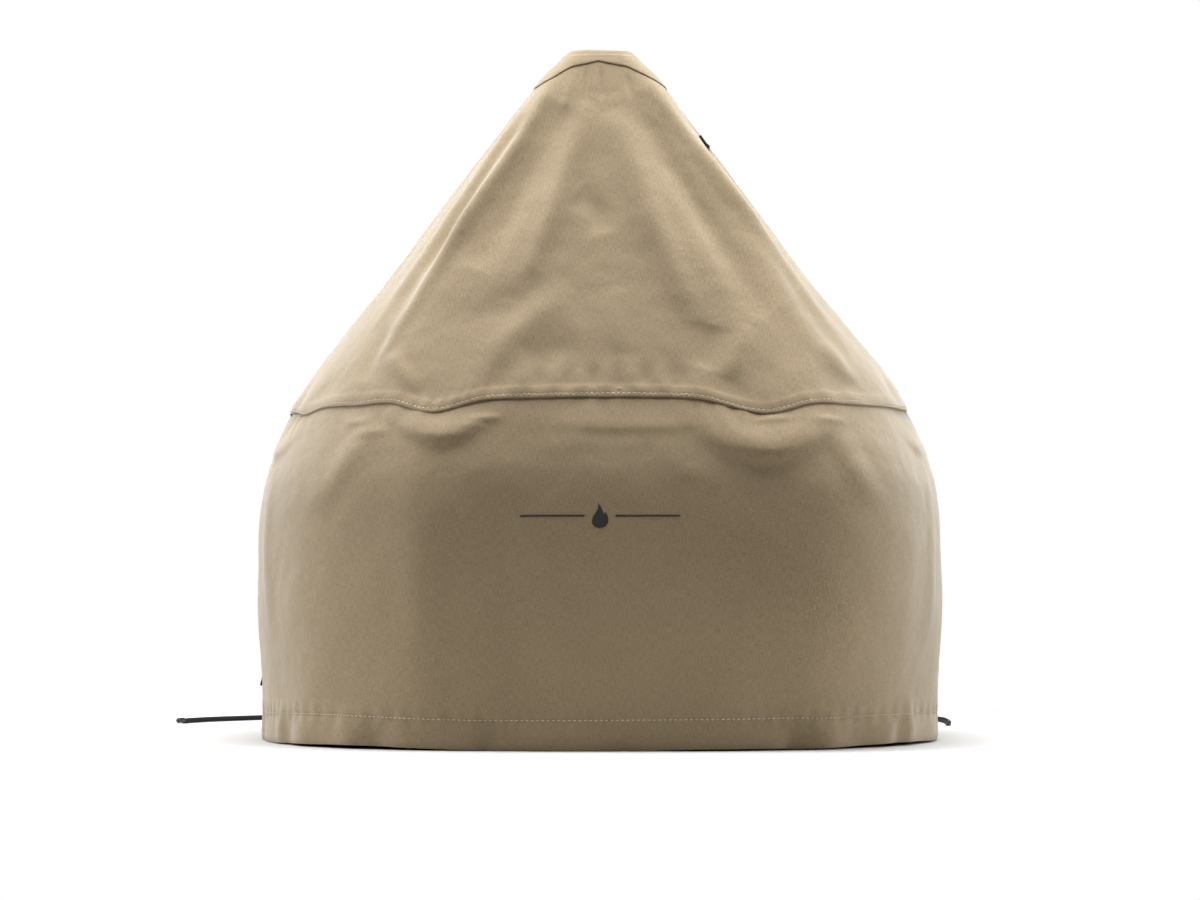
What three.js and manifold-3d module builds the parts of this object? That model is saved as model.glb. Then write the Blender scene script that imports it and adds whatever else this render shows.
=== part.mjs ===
// Fitted grill cover: a draped woven shell in panels, with a drawcord hem.
// Millimetres, +Z up, front towards -Y, origin on the floor under the middle of the hem.

import * as THREE from 'three';
import { mergeVertices } from 'three/addons/utils/BufferGeometryUtils.js';
import Module from 'manifold-3d';

const wasm = await Module();
wasm.setup();

// Overall size of the shell on the oven.
const COVER_WIDTH = 735;
const COVER_DEPTH = 700;
const COVER_HEIGHT = 735;

// Levels of the side profile: two from the floor, the others down from the waist seam.
const HEM_HEIGHT = 32;
const WAIST_HEIGHT = 353;
const FULL_DROP = 143;
const SHOULDER_DROP = 85;
const BEND_DROP = 51;

// How far the profile lies inside the widest section at those levels.
const HEM_INSET = 6;
const SHOULDER_INSET = 4.5;
const BEND_INSET = 16;
const WAIST_INSET = 38;

// Crown at the top of the cone, which stands forward of the middle.
const CROWN_WIDTH = 100;
const CROWN_DEPTH = 98;
const CROWN_FORWARD = 70;
const CROWN_RISE = 15;
const CROWN_EASE = 1;
const LIP_DROP_SIDE = 20;
const LIP_DROP_FRONT = 8;

// Cloth, laps and the clearances between layers.
const FABRIC = 1.2;
const TAPE = 0.7;
const GAP = 0.4;
const SEAM_GAP = 0.6;
const WAIST_LAP = 16;
const TAPE_WIDTH = 20;
const BAND_HEIGHT = 10;

// Hem tunnel, drawcord and the two eyelets it leaves by.
const TUNNEL_FLOOR = 6;
const TUNNEL_ROOF = 20;
const TUNNEL_EASE = 4;
const HEM_LIFT = 1.5;
const CORD = 6;
const EYELET_SPREAD = 18;
const BEND_REACH = 9;
const EYELET_EASE = 1.8;
const EYELET_PLATE = 1;
const EYELET_RIM = 2.6;
const FIT = 0.3;

// Cord lock: a barrel, its sprung plunger and the cross slot for both cords.
const LOCK_PLACE = 398;
const LOCK_WALL = 1.8;
const LOCK_HEIGHT = 21;
const LOCK_FOOT = 0.5;
const LOCK_FLOOR = 1.6;
const LOCK_SLOT_EASE = 0.6;
const LOCK_CHEEK = 2;
const LOCK_TRAVEL = 3;
const LOCK_BUTTON = 5;
const PLUNGER_WEB = 2;
const SPRING_WIRE = 0.9;
const SPRING_DIAMETER = 10.4;
const SPRING_TURNS = 3;

// Moulded cord ends and webbing tabs.
const END_WALL = 0.8;
const END_LENGTH = 16;
const TAB_THICKNESS = 2;
const HEM_TAB_WIDTH = 20;
const HEM_TAB_LENGTH = 17;
const HEM_TAB_HEIGHT = 73;
const CROWN_TAB_WIDTH = 16;
const CROWN_TAB_LENGTH = 22;
const CROWN_TAB_HEIGHT = 643;
const LABEL_WIDTH = 28;
const LABEL_LENGTH = 44;
const LABEL_HEIGHT = 96;

// Facets.
const PANEL_COLUMNS = 28;
const ROUND_SIDES = 16;
const CORD_SIDES = 8;
const CORD_STEP = 12;
const RUN_POINTS = 48;
const RUN_STEPS = 80;
const BEND_STEPS = 8;
const SPRING_SIDES = 6;
const SPRING_TURN_STEPS = 12;
const CONE_STEPS = 5;
const CURVE_STEP = 0.01;

const FULL_HEIGHT = WAIST_HEIGHT - FULL_DROP;
const SHOULDER_HEIGHT = WAIST_HEIGHT - SHOULDER_DROP;
const BEND_HEIGHT = WAIST_HEIGHT - BEND_DROP;
const LOCK_CORD_SPREAD = CORD * 1.1;
const CORD_APART = LOCK_CORD_SPREAD / 2;
const CORD_LIE = CORD * 0.55;
const CORD_HEIGHT = (TUNNEL_FLOOR + TUNNEL_ROOF) / 2;
const TUNNEL_DEPTH = CORD + TUNNEL_EASE;
const EYELET_BORE = CORD + EYELET_EASE;
const EYELET_BARREL = EYELET_BORE + 2 * EYELET_PLATE;
const EYELET_FLANGE = EYELET_BARREL + 2 * EYELET_RIM;
const LOCK_SLOT_WIDTH = LOCK_CORD_SPREAD + CORD + 2 * LOCK_SLOT_EASE;
const LOCK_SLOT_HEIGHT = CORD + 2 * LOCK_SLOT_EASE;
const LOCK_BORE = LOCK_SLOT_WIDTH + 2 * LOCK_CHEEK;
const LOCK_BARREL = LOCK_BORE + 2 * LOCK_WALL;
const END_DIAMETER = CORD + 2 * END_WALL;
const CROWN_BASE = COVER_HEIGHT - CROWN_RISE;
const UPPER_TOP = CROWN_BASE - LIP_DROP_FRONT + 2;
const OUTER_LAYER = GAP + FABRIC;
const INNER_LAYER = -FABRIC - GAP;

// Routes of the free cord tails: out of the eyelets, through the lock, then over the floor.
const LEFT_TAIL = [
  [-9, 346, 13], [-8.8, 351, 13], [-6, 362, 13], [-CORD_APART, 374, 13],
  [-CORD_APART, 386, 13], [-CORD_APART, 402, 13], [-CORD_APART, 420, 13],
  [-CORD_APART, 440, 13], [-CORD_APART, 456, 13], [-6, 473, 8.8], [-14, 488, 4.6],
  [-34, 502, CORD_LIE], [-85, 524, CORD_LIE], [-170, 552, CORD_LIE], [-265, 568, CORD_LIE], [-345, 556, CORD_LIE],
  [-408, 520, CORD_LIE], [-451, 478, CORD_LIE], [-478, 440, CORD_LIE], [-493, 406, CORD_LIE],
];
const RIGHT_TAIL = [
  [9, 346, 13], [8.8, 351, 13], [6, 362, 13], [CORD_APART, 374, 13],
  [CORD_APART, 386, 13], [CORD_APART, 402, 13], [CORD_APART, 420, 13],
  [CORD_APART, 440, 13], [CORD_APART, 456, 13], [6, 473, 8.8], [14, 488, 4.6],
  [34, 502, CORD_LIE], [95, 528, CORD_LIE], [180, 556, CORD_LIE], [270, 572, CORD_LIE], [345, 562, CORD_LIE],
  [392, 520, CORD_LIE], [408, 460, CORD_LIE], [410, 400, CORD_LIE], [407, 345, CORD_LIE],
];

const LOOKS = {
  shell: { color: 0x96866c, roughness: 0.85, metalness: 0 },
  cone: { color: 0xb0a184, roughness: 0.85, metalness: 0 },
  lining: { color: 0x6f6350, roughness: 0.9, metalness: 0 },
  tape: { color: 0x2b2a28, roughness: 0.8, metalness: 0 },
  cord: { color: 0x161616, roughness: 0.75, metalness: 0 },
  plastic: { color: 0x1b1b1c, roughness: 0.4, metalness: 0 },
  metal: { color: 0x6b6a66, roughness: 0.35, metalness: 0.9 },
  label: { color: 0xe8e6df, roughness: 0.8, metalness: 0 },
};

const cover = new THREE.Group();

function add(name, geometry, look, parent = cover) {
  const mesh = new THREE.Mesh(geometry, new THREE.MeshStandardMaterial(LOOKS[look]));
  mesh.name = name;
  parent.add(mesh);
  return mesh;
}

// ---- The draped surface -------------------------------------------------------------

function station(z, inset, shape) {
  const side = COVER_WIDTH / 2 - inset;
  const halfDepth = COVER_DEPTH / 2 - inset;
  return { z, side, front: halfDepth, rear: halfDepth, centre: 0, ...shape };
}

const SKIRT_SHAPE = { squareFront: 4.6, squareRear: 3, taper: 0.24 };
const WAIST_SHAPE = { squareFront: 4, squareRear: 2.8, taper: 0.2 };
const CROWN_SHAPE = { squareFront: 3, squareRear: 2.4, taper: 0.1 };

const STATIONS = [
  station(0, HEM_INSET, SKIRT_SHAPE),
  station(HEM_HEIGHT, HEM_INSET, SKIRT_SHAPE),
  station(FULL_HEIGHT, 0, SKIRT_SHAPE),
  station(SHOULDER_HEIGHT, SHOULDER_INSET, SKIRT_SHAPE),
  station(BEND_HEIGHT, BEND_INSET, SKIRT_SHAPE),
  station(WAIST_HEIGHT, WAIST_INSET, WAIST_SHAPE),
  {
    z: CROWN_BASE,
    side: CROWN_WIDTH / 2,
    front: CROWN_DEPTH / 2,
    rear: CROWN_DEPTH / 2,
    centre: -CROWN_FORWARD,
    ...CROWN_SHAPE,
  },
];
const WAIST = STATIONS.length - 2;

// Slope at a station below the waist that never overshoots: the harmonic mean of its neighbours'.
function slopeAt(index, key) {
  const slope = (i) => (STATIONS[i + 1][key] - STATIONS[i][key]) / (STATIONS[i + 1].z - STATIONS[i].z);
  if (index === 0) return slope(0);
  if (index === WAIST) return slope(index - 1);
  const before = slope(index - 1);
  const after = slope(index);
  return before * after > 0 ? (2 * before * after) / (before + after) : 0;
}

// The section is smooth up to the waist and runs straight from there to the crown.
function sectionAt(z) {
  const above = STATIONS.findIndex((one) => one.z > z);
  const index = above < 0 ? WAIST : Math.max(0, above - 1);
  const low = STATIONS[index];
  const high = STATIONS[index + 1];
  const span = high.z - low.z;
  const t = (z - low.z) / span;
  const section = {};
  for (const key of ['side', 'front', 'rear', 'centre', 'squareFront', 'squareRear', 'taper']) {
    section[key] = THREE.MathUtils.lerp(low[key], high[key], t);
    if (index === WAIST) continue;
    section[key] = low[key] * (1 + 2 * t) * (1 - t) ** 2
      + high[key] * t ** 2 * (3 - 2 * t)
      + span * slopeAt(index, key) * t * (1 - t) ** 2
      + span * slopeAt(index + 1, key) * t ** 2 * (t - 1);
  }
  return section;
}

// Angle 0 is the right side, a quarter turn is the rear; the front half narrows forward.
function surfacePoint(angle, z) {
  const section = sectionAt(z);
  const c = Math.cos(angle);
  const s = Math.sin(angle);
  const power = s < 0 ? section.squareFront : section.squareRear;
  const reach = (Math.abs(c) ** power + Math.abs(s) ** power) ** (-1 / power);
  const narrow = 1 - section.taper * Math.max(0, -reach * s) ** 2;
  const half = s < 0 ? section.front : section.rear;
  return new THREE.Vector3(section.side * reach * c * narrow, section.centre + half * reach * s, z);
}

function surfaceNormal(angle, z) {
  const around = surfacePoint(angle + CURVE_STEP, z).sub(surfacePoint(angle - CURVE_STEP, z));
  const up = surfacePoint(angle, z + 1).sub(surfacePoint(angle, Math.max(0, z - 1)));
  return around.cross(up).normalize();
}

function offsetPoint(angle, z, offset) {
  return surfacePoint(angle, z).addScaledVector(surfaceNormal(angle, z), offset);
}

function warp(geometry, place) {
  const position = geometry.attributes.position;
  const point = new THREE.Vector3();
  for (let i = 0; i < position.count; i += 1) {
    place(point.fromBufferAttribute(position, i));
    position.setXYZ(i, point.x, point.y, point.z);
  }
  return geometry;
}

// A cloth panel over a stretch of angle: a thin segmented box bent onto the surface.
function panel({ from, to, heights, inner, outer, columns = PANEL_COLUMNS }) {
  const rows = heights.length - 1;
  const box = new THREE.BoxGeometry(1, 1, 1, columns, rows, 1);
  return warp(box, (point) => {
    const z = heights[Math.round((point.y + 0.5) * rows)];
    const trim = SEAM_GAP / 2 / sectionAt(z).side;
    const angle = THREE.MathUtils.lerp(from + trim, to - trim, point.x + 0.5);
    const offset = point.z > 0 ? outer(z) : inner(z);
    point.copy(offsetPoint(angle, z, offset));
  });
}

// A narrow strip that runs up the inside of a side seam.
function seamTape(angle, heights) {
  const rows = heights.length - 1;
  const box = new THREE.BoxGeometry(1, 1, 1, 2, rows, 1);
  return warp(box, (point) => {
    const z = heights[Math.round((point.y + 0.5) * rows)];
    const turn = (point.x * TAPE_WIDTH) / sectionAt(z).side;
    const offset = point.z > 0 ? INNER_LAYER : INNER_LAYER - TAPE;
    point.copy(offsetPoint(angle + turn, z, offset));
  });
}

// ---- Solids -------------------------------------------------------------------------

function toSolid(geometry) {
  const bare = geometry.clone();
  bare.deleteAttribute('normal');
  bare.deleteAttribute('uv');
  const merged = mergeVertices(bare, 1e-4);
  return new wasm.Manifold(new wasm.Mesh({
    numProp: 3,
    vertProperties: new Float32Array(merged.attributes.position.array),
    triVerts: new Uint32Array(merged.index.array),
  }));
}

function toGeometry(solid) {
  const mesh = solid.getMesh();
  const geometry = new THREE.BufferGeometry();
  geometry.setAttribute('position', new THREE.BufferAttribute(new Float32Array(mesh.vertProperties), 3));
  geometry.setIndex(new THREE.BufferAttribute(new Uint32Array(mesh.triVerts), 1));
  geometry.computeVertexNormals();
  return geometry;
}

function upright(radius, low, high, sides = ROUND_SIDES) {
  const cylinder = new THREE.CylinderGeometry(radius, radius, high - low, sides);
  return cylinder.rotateX(Math.PI / 2).translate(0, 0, (low + high) / 2);
}

function tube(points, diameter, steps, sides = CORD_SIDES) {
  const section = new THREE.Shape();
  for (let i = 0; i < sides; i += 1) {
    const turn = (2 * Math.PI * i) / sides;
    const x = (diameter / 2) * Math.cos(turn);
    const y = (diameter / 2) * Math.sin(turn);
    if (i === 0) section.moveTo(x, y);
    else section.lineTo(x, y);
  }
  const path = new THREE.CatmullRomCurve3(points.map((p) => new THREE.Vector3(...p)));
  return new THREE.ExtrudeGeometry(section, { steps, extrudePath: path, bevelEnabled: false });
}

// ---- Shell panels -------------------------------------------------------------------

const FRONT = { from: Math.PI, to: 2 * Math.PI };
const REAR = { from: 0, to: Math.PI };

const LAP_TOP = WAIST_HEIGHT + WAIST_LAP;
const SKIRT_ROWS = [
  0, HEM_HEIGHT, HEM_TAB_HEIGHT - HEM_TAB_LENGTH, HEM_TAB_HEIGHT,
  (HEM_TAB_HEIGHT + FULL_HEIGHT) / 2, FULL_HEIGHT, SHOULDER_HEIGHT,
  (SHOULDER_HEIGHT + BEND_HEIGHT) / 2, BEND_HEIGHT, (BEND_HEIGHT + WAIST_HEIGHT) / 2,
  WAIST_HEIGHT, LAP_TOP,
];
const UPPER_ROWS = [WAIST_HEIGHT];
for (let i = 0; i <= CONE_STEPS; i += 1) {
  UPPER_ROWS.push(THREE.MathUtils.lerp(LAP_TOP, UPPER_TOP, i / CONE_STEPS));
}

function skirtPanel(side) {
  return panel({ ...side, heights: SKIRT_ROWS, inner: () => -FABRIC, outer: () => 0 });
}

function upperPanel(side) {
  return panel({ ...side, heights: UPPER_ROWS, inner: () => GAP, outer: () => OUTER_LAYER });
}

const hemRear = surfacePoint(Math.PI / 2, CORD_HEIGHT).y;

function eyeletHole(x) {
  const cylinder = new THREE.CylinderGeometry(1, 1, 8 * FABRIC, ROUND_SIDES);
  const radius = EYELET_BARREL / 2 + FIT;
  return toSolid(cylinder.scale(radius, 1, radius).translate(x, hemRear, CORD_HEIGHT));
}

let skirtRear = toSolid(skirtPanel(REAR));
for (const side of [-1, 1]) {
  skirtRear = skirtRear.subtract(eyeletHole((side * EYELET_SPREAD) / 2));
}

add('skirt_front_panel', skirtPanel(FRONT), 'shell');
add('skirt_rear_panel', toGeometry(skirtRear), 'shell');
add('upper_front_panel', upperPanel(FRONT), 'cone');
add('upper_rear_panel', upperPanel(REAR), 'cone');

// Crown cap: rings from the pole down to the lip, then back up under the cloth.
const CROWN_RINGS = [
  { share: 0, drop: 0 },
  { share: 0.7, drop: 2.5 },
  { share: 0.92, drop: 8.5 },
  { share: 1, drop: CROWN_RISE },
];
const CAP_OUTER = OUTER_LAYER + CROWN_EASE + FABRIC;

function lipHeight(angle) {
  return CROWN_BASE - LIP_DROP_SIDE * Math.cos(angle) ** 2 - LIP_DROP_FRONT * Math.sin(angle) ** 2;
}

function crownPoint(angle, ring, depth) {
  if (ring === CROWN_RINGS.length) return offsetPoint(angle, lipHeight(angle), CAP_OUTER - depth);
  const { share, drop } = CROWN_RINGS[ring];
  const rim = offsetPoint(angle, CROWN_BASE, CAP_OUTER - depth);
  return new THREE.Vector3(
    rim.x * share,
    THREE.MathUtils.lerp(-CROWN_FORWARD, rim.y, share),
    COVER_HEIGHT - drop - depth * (1 - share ** 4),
  );
}

function crownCap() {
  const last = CROWN_RINGS.length;
  const profile = [];
  for (let i = 2 * last + 1; i >= 0; i -= 1) {
    const onPole = i === 0 || i === 2 * last + 1;
    profile.push(new THREE.Vector2(onPole ? 0 : 1, i));
  }
  const lathe = new THREE.LatheGeometry(profile, 2 * PANEL_COLUMNS);
  return warp(lathe, (point) => {
    const row = Math.round(point.y);
    const ring = row <= last ? row : 2 * last + 1 - row;
    const depth = row <= last ? 0 : FABRIC;
    point.copy(crownPoint(Math.atan2(-point.z, point.x), ring, depth));
  });
}

add('crown_cap', crownCap(), 'cone');

// ---- Linings, tapes and label -------------------------------------------------------

const FACING_ROWS = [HEM_LIFT, TUNNEL_FLOOR, TUNNEL_ROOF, (TUNNEL_ROOF + HEM_HEIGHT) / 2, HEM_HEIGHT];

function facingLayer(z) {
  const inTunnel = z >= TUNNEL_FLOOR && z <= TUNNEL_ROOF;
  return -FABRIC - (inTunnel ? TUNNEL_DEPTH : GAP);
}

function hemFacing(side) {
  return panel({
    ...side, heights: FACING_ROWS, inner: (z) => facingLayer(z) - FABRIC, outer: facingLayer,
  });
}

function band(side, low) {
  return panel({
    ...side,
    heights: [low, low + BAND_HEIGHT],
    inner: () => INNER_LAYER - TAPE,
    outer: () => INNER_LAYER,
  });
}

function between(rows, low, high) {
  return [low, ...rows.filter((z) => z > low && z < high), high];
}

const WAIST_BAND = WAIST_HEIGHT + (WAIST_LAP - BAND_HEIGHT) / 2;
const CROWN_BAND = UPPER_TOP - BAND_HEIGHT - FIT;

for (const [end, side] of [['front', FRONT], ['rear', REAR]]) {
  add(`hem_facing_${end}`, hemFacing(side), 'lining');
  add(`waist_tape_${end}`, band(side, WAIST_BAND), 'tape');
  add(`crown_tape_${end}`, band(side, CROWN_BAND), 'tape');
}
for (const [hand, angle] of [['left', Math.PI], ['right', 0]]) {
  add(`skirt_seam_tape_${hand}`, seamTape(angle, between(SKIRT_ROWS, HEM_HEIGHT + 2, WAIST_BAND - 2)), 'tape');
  const low = LAP_TOP + 2;
  add(`upper_seam_tape_${hand}`, seamTape(angle, between(UPPER_ROWS, low, CROWN_BAND - 2)), 'tape');
}

const labelGap = -INNER_LAYER + TAPE + GAP;
const label = new THREE.BoxGeometry(TAPE, LABEL_WIDTH, LABEL_LENGTH);
add('care_label', label, 'label').position.set(
  surfacePoint(Math.PI, LABEL_HEIGHT - LABEL_LENGTH).x + labelGap + TAPE,
  0,
  LABEL_HEIGHT - LABEL_LENGTH / 2,
);

// ---- Drawcord, eyelets and cord ends ------------------------------------------------

const cordLayer = -FABRIC - TUNNEL_DEPTH / 2;
const bendReach = EYELET_SPREAD / 2 + BEND_REACH;

// The stretch inside the tunnel, all the way round from one eyelet to the other.
function tunnelRun() {
  const away = Math.asin(bendReach / sectionAt(CORD_HEIGHT).side);
  const start = Math.PI / 2 + away;
  const end = Math.PI / 2 + 2 * Math.PI - away;
  const points = [];
  for (let i = 0; i <= RUN_POINTS; i += 1) {
    const angle = THREE.MathUtils.lerp(start, end, i / RUN_POINTS);
    points.push(offsetPoint(angle, CORD_HEIGHT, cordLayer).toArray());
  }
  return tube(points, CORD, RUN_STEPS);
}

// The short bend from the tunnel out through one eyelet.
function eyeletBend(side) {
  const y = hemRear + cordLayer;
  const x = (side * EYELET_SPREAD) / 2;
  return tube([
    [x + side * (BEND_REACH - FIT), y, CORD_HEIGHT],
    [x + side * 6, y, CORD_HEIGHT],
    [x + side * 2, y + 0.6, CORD_HEIGHT],
    [x, y + 3, CORD_HEIGHT],
    [x, hemRear + EYELET_PLATE + 2 * FIT, CORD_HEIGHT],
  ], CORD, BEND_STEPS);
}

add('drawcord_run', tunnelRun(), 'cord');

function ring(inner, outer, low, high) {
  return [
    new THREE.Vector2(inner, low), new THREE.Vector2(outer, low),
    new THREE.Vector2(outer, high), new THREE.Vector2(inner, high), new THREE.Vector2(inner, low),
  ];
}

function eyelet() {
  const back = -FABRIC - EYELET_PLATE - 2 * FIT;
  return new THREE.LatheGeometry([
    new THREE.Vector2(EYELET_BORE / 2, back),
    new THREE.Vector2(EYELET_BARREL / 2, back),
    new THREE.Vector2(EYELET_BARREL / 2, FIT),
    new THREE.Vector2(EYELET_FLANGE / 2, FIT),
    new THREE.Vector2(EYELET_FLANGE / 2, FIT + EYELET_PLATE / 2),
    new THREE.Vector2(EYELET_FLANGE / 2 - EYELET_PLATE, FIT + EYELET_PLATE),
    new THREE.Vector2(EYELET_BORE / 2, FIT + EYELET_PLATE),
    new THREE.Vector2(EYELET_BORE / 2, back),
  ], ROUND_SIDES);
}

function eyeletWasher() {
  const near = -FABRIC - FIT;
  return new THREE.LatheGeometry(
    ring(EYELET_BARREL / 2 + FIT, EYELET_FLANGE / 2, near - EYELET_PLATE, near), ROUND_SIDES,
  );
}

function cordEnd() {
  const radius = END_DIAMETER / 2;
  const profile = [new THREE.Vector2(0, 0), new THREE.Vector2(radius, 0)];
  profile.push(new THREE.Vector2(radius, END_LENGTH - radius));
  for (const turn of [30, 60]) {
    const angle = THREE.MathUtils.degToRad(turn);
    profile.push(new THREE.Vector2(
      radius * Math.cos(angle), END_LENGTH - radius + radius * Math.sin(angle),
    ));
  }
  profile.push(new THREE.Vector2(0, END_LENGTH));
  return new THREE.LatheGeometry(profile, ROUND_SIDES / 2);
}

function tailSteps(route) {
  const path = new THREE.CatmullRomCurve3(route.map((p) => new THREE.Vector3(...p)));
  return Math.min(RUN_STEPS, Math.round(path.getLength() / CORD_STEP));
}

for (const [hand, side, route] of [['left', -1, LEFT_TAIL], ['right', 1, RIGHT_TAIL]]) {
  const x = (side * EYELET_SPREAD) / 2;
  add(`eyelet_${hand}`, eyelet(), 'metal').position.set(x, hemRear, CORD_HEIGHT);
  add(`eyelet_washer_${hand}`, eyeletWasher(), 'metal').position.set(x, hemRear, CORD_HEIGHT);
  add(`drawcord_exit_${hand}`, eyeletBend(side), 'cord');
  add(`drawcord_tail_${hand}`, tube(route, CORD, tailSteps(route)), 'cord');
  const [before, last] = route.slice(-2).map((p) => new THREE.Vector3(...p));
  const away = last.clone().sub(before).normalize();
  const tip = add(`cord_end_${hand}`, cordEnd(), 'plastic');
  tip.quaternion.setFromUnitVectors(new THREE.Vector3(0, 1, 0), away);
  tip.position.copy(last).addScaledVector(away, FIT);
  tip.position.z = END_DIAMETER / 2 + FIT;
}

// ---- Cord lock ----------------------------------------------------------------------

const slotLow = CORD_HEIGHT - LOCK_SLOT_HEIGHT / 2;
const slotHigh = CORD_HEIGHT + LOCK_SLOT_HEIGHT / 2;
const boreFloor = LOCK_FOOT + LOCK_FLOOR;
const plungerBase = slotLow - PLUNGER_WEB;
const plungerRadius = LOCK_BORE / 2 - FIT;

function crossSlot(low, high) {
  const box = new THREE.BoxGeometry(LOCK_SLOT_WIDTH, 2 * LOCK_BARREL, high - low);
  return toSolid(box.translate(0, 0, (low + high) / 2));
}

function lockBody() {
  const barrel = toSolid(upright(LOCK_BARREL / 2, LOCK_FOOT, LOCK_HEIGHT));
  const bore = toSolid(upright(LOCK_BORE / 2, boreFloor, LOCK_HEIGHT + 1));
  return barrel.subtract(bore).subtract(crossSlot(slotLow, slotHigh));
}

function lockPlunger() {
  const top = LOCK_HEIGHT + LOCK_BUTTON;
  const stem = toSolid(upright(plungerRadius, plungerBase, top - 1));
  const crown = new THREE.CylinderGeometry(plungerRadius - 1, plungerRadius, 1.2, ROUND_SIDES);
  const cap = toSolid(crown.rotateX(Math.PI / 2).translate(0, 0, top - 0.6));
  return stem.add(cap).subtract(crossSlot(slotLow, slotHigh + LOCK_TRAVEL));
}

function lockSpring() {
  const low = boreFloor + FIT + SPRING_WIRE / 2;
  const high = plungerBase - FIT - SPRING_WIRE / 2;
  const points = [];
  const count = SPRING_TURNS * SPRING_TURN_STEPS;
  const radius = (SPRING_DIAMETER - SPRING_WIRE) / 2;
  for (let i = 0; i <= count; i += 1) {
    const turn = (2 * Math.PI * SPRING_TURNS * i) / count;
    points.push([
      radius * Math.cos(turn), radius * Math.sin(turn), THREE.MathUtils.lerp(low, high, i / count),
    ]);
  }
  return tube(points, SPRING_WIRE, count, SPRING_SIDES);
}

const lock = new THREE.Group();
lock.position.set(0, LOCK_PLACE, 0);
cover.add(lock);
add('cord_lock_body', toGeometry(lockBody()), 'plastic', lock);
add('cord_lock_plunger', toGeometry(lockPlunger()), 'plastic', lock);
add('cord_lock_spring', lockSpring(), 'metal', lock);

// ---- Webbing tabs -------------------------------------------------------------------

// A folded strip hanging from its rounded top edge, which is the line it swings about.
function tab(width, length) {
  const radius = TAB_THICKNESS / 2;
  const outline = new THREE.Shape();
  outline.absarc(0, 0, radius, 0, Math.PI);
  outline.lineTo(-radius, -length);
  outline.absarc(0, -length, radius, Math.PI, 2 * Math.PI);
  outline.closePath();
  const strip = new THREE.ExtrudeGeometry(outline, { depth: width, bevelEnabled: false, curveSegments: 6 });
  return strip.translate(0, 0, -width / 2);
}

// Hangs a tab down the slope of the cloth, or plumb where the cloth overhangs.
function hangTab(name, angle, height, width, length, layer) {
  const out = surfaceNormal(angle, height);
  out.setZ(Math.max(0, out.z)).normalize();
  const along = new THREE.Vector3(-out.y, out.x, 0).normalize();
  const up = new THREE.Vector3().crossVectors(out, along);
  const mesh = add(name, tab(width, length), 'tape');
  mesh.quaternion.setFromRotationMatrix(new THREE.Matrix4().makeBasis(out, up, along.negate()));
  mesh.position.copy(offsetPoint(angle, height, layer + GAP + TAB_THICKNESS / 2));
}

hangTab('pull_tab_left', Math.PI, HEM_TAB_HEIGHT, HEM_TAB_WIDTH, HEM_TAB_LENGTH, 0);
hangTab('pull_tab_right', Math.PI / 7, HEM_TAB_HEIGHT, HEM_TAB_WIDTH, HEM_TAB_LENGTH, 0);
hangTab('pull_tab_crown', 0, CROWN_TAB_HEIGHT, CROWN_TAB_WIDTH, CROWN_TAB_LENGTH, OUTER_LAYER);

export default cover;
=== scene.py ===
"""A fitted, heathered tan grill cover with a drawcord hem, draped over a domed oven."""

import math

import bmesh
import bpy
import numpy as np
from mathutils import Matrix, Vector, noise


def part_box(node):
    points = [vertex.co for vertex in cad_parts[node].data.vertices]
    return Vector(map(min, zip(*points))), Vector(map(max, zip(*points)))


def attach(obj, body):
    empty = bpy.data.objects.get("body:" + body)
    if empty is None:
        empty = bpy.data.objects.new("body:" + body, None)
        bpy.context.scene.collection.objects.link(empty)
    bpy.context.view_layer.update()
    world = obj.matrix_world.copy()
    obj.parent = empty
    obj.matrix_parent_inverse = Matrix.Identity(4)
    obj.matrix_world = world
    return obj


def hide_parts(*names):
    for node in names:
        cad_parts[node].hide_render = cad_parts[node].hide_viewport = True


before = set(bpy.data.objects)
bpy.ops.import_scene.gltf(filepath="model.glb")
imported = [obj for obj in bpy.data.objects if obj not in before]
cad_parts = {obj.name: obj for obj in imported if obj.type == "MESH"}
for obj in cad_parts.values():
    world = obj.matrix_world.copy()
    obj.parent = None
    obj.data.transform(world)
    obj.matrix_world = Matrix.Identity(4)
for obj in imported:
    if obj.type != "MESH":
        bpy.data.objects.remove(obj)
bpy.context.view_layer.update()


# ---- Sizes, taken from the frame ----------------------------------------------------

SKIRT_LOW, SKIRT_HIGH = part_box("skirt_front_panel")
CROWN_LOW, CROWN_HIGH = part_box("crown_cap")
HALF_WIDTH = SKIRT_HIGH.x
HALF_DEPTH = -SKIRT_LOW.y
TOP = CROWN_HIGH.z
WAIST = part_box("upper_front_panel")[0].z
LAP_TOP = SKIRT_HIGH.z
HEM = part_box("hem_facing_front")[1].z
CROWN_CENTRE = (CROWN_LOW.y + CROWN_HIGH.y) / 2

CORD_DIAMETER = 0.006


# ---- Helpers ------------------------------------------------------------------------

def pairs(first, second):
    return np.stack([first, second], axis=-1)


def smooth_step(low, high, value):
    t = np.clip((value - low) / (high - low), 0, 1)
    return t * t * (3 - 2 * t)


def bump(value, centre, width):
    return np.exp(-(((value - centre) / width) ** 2))


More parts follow.
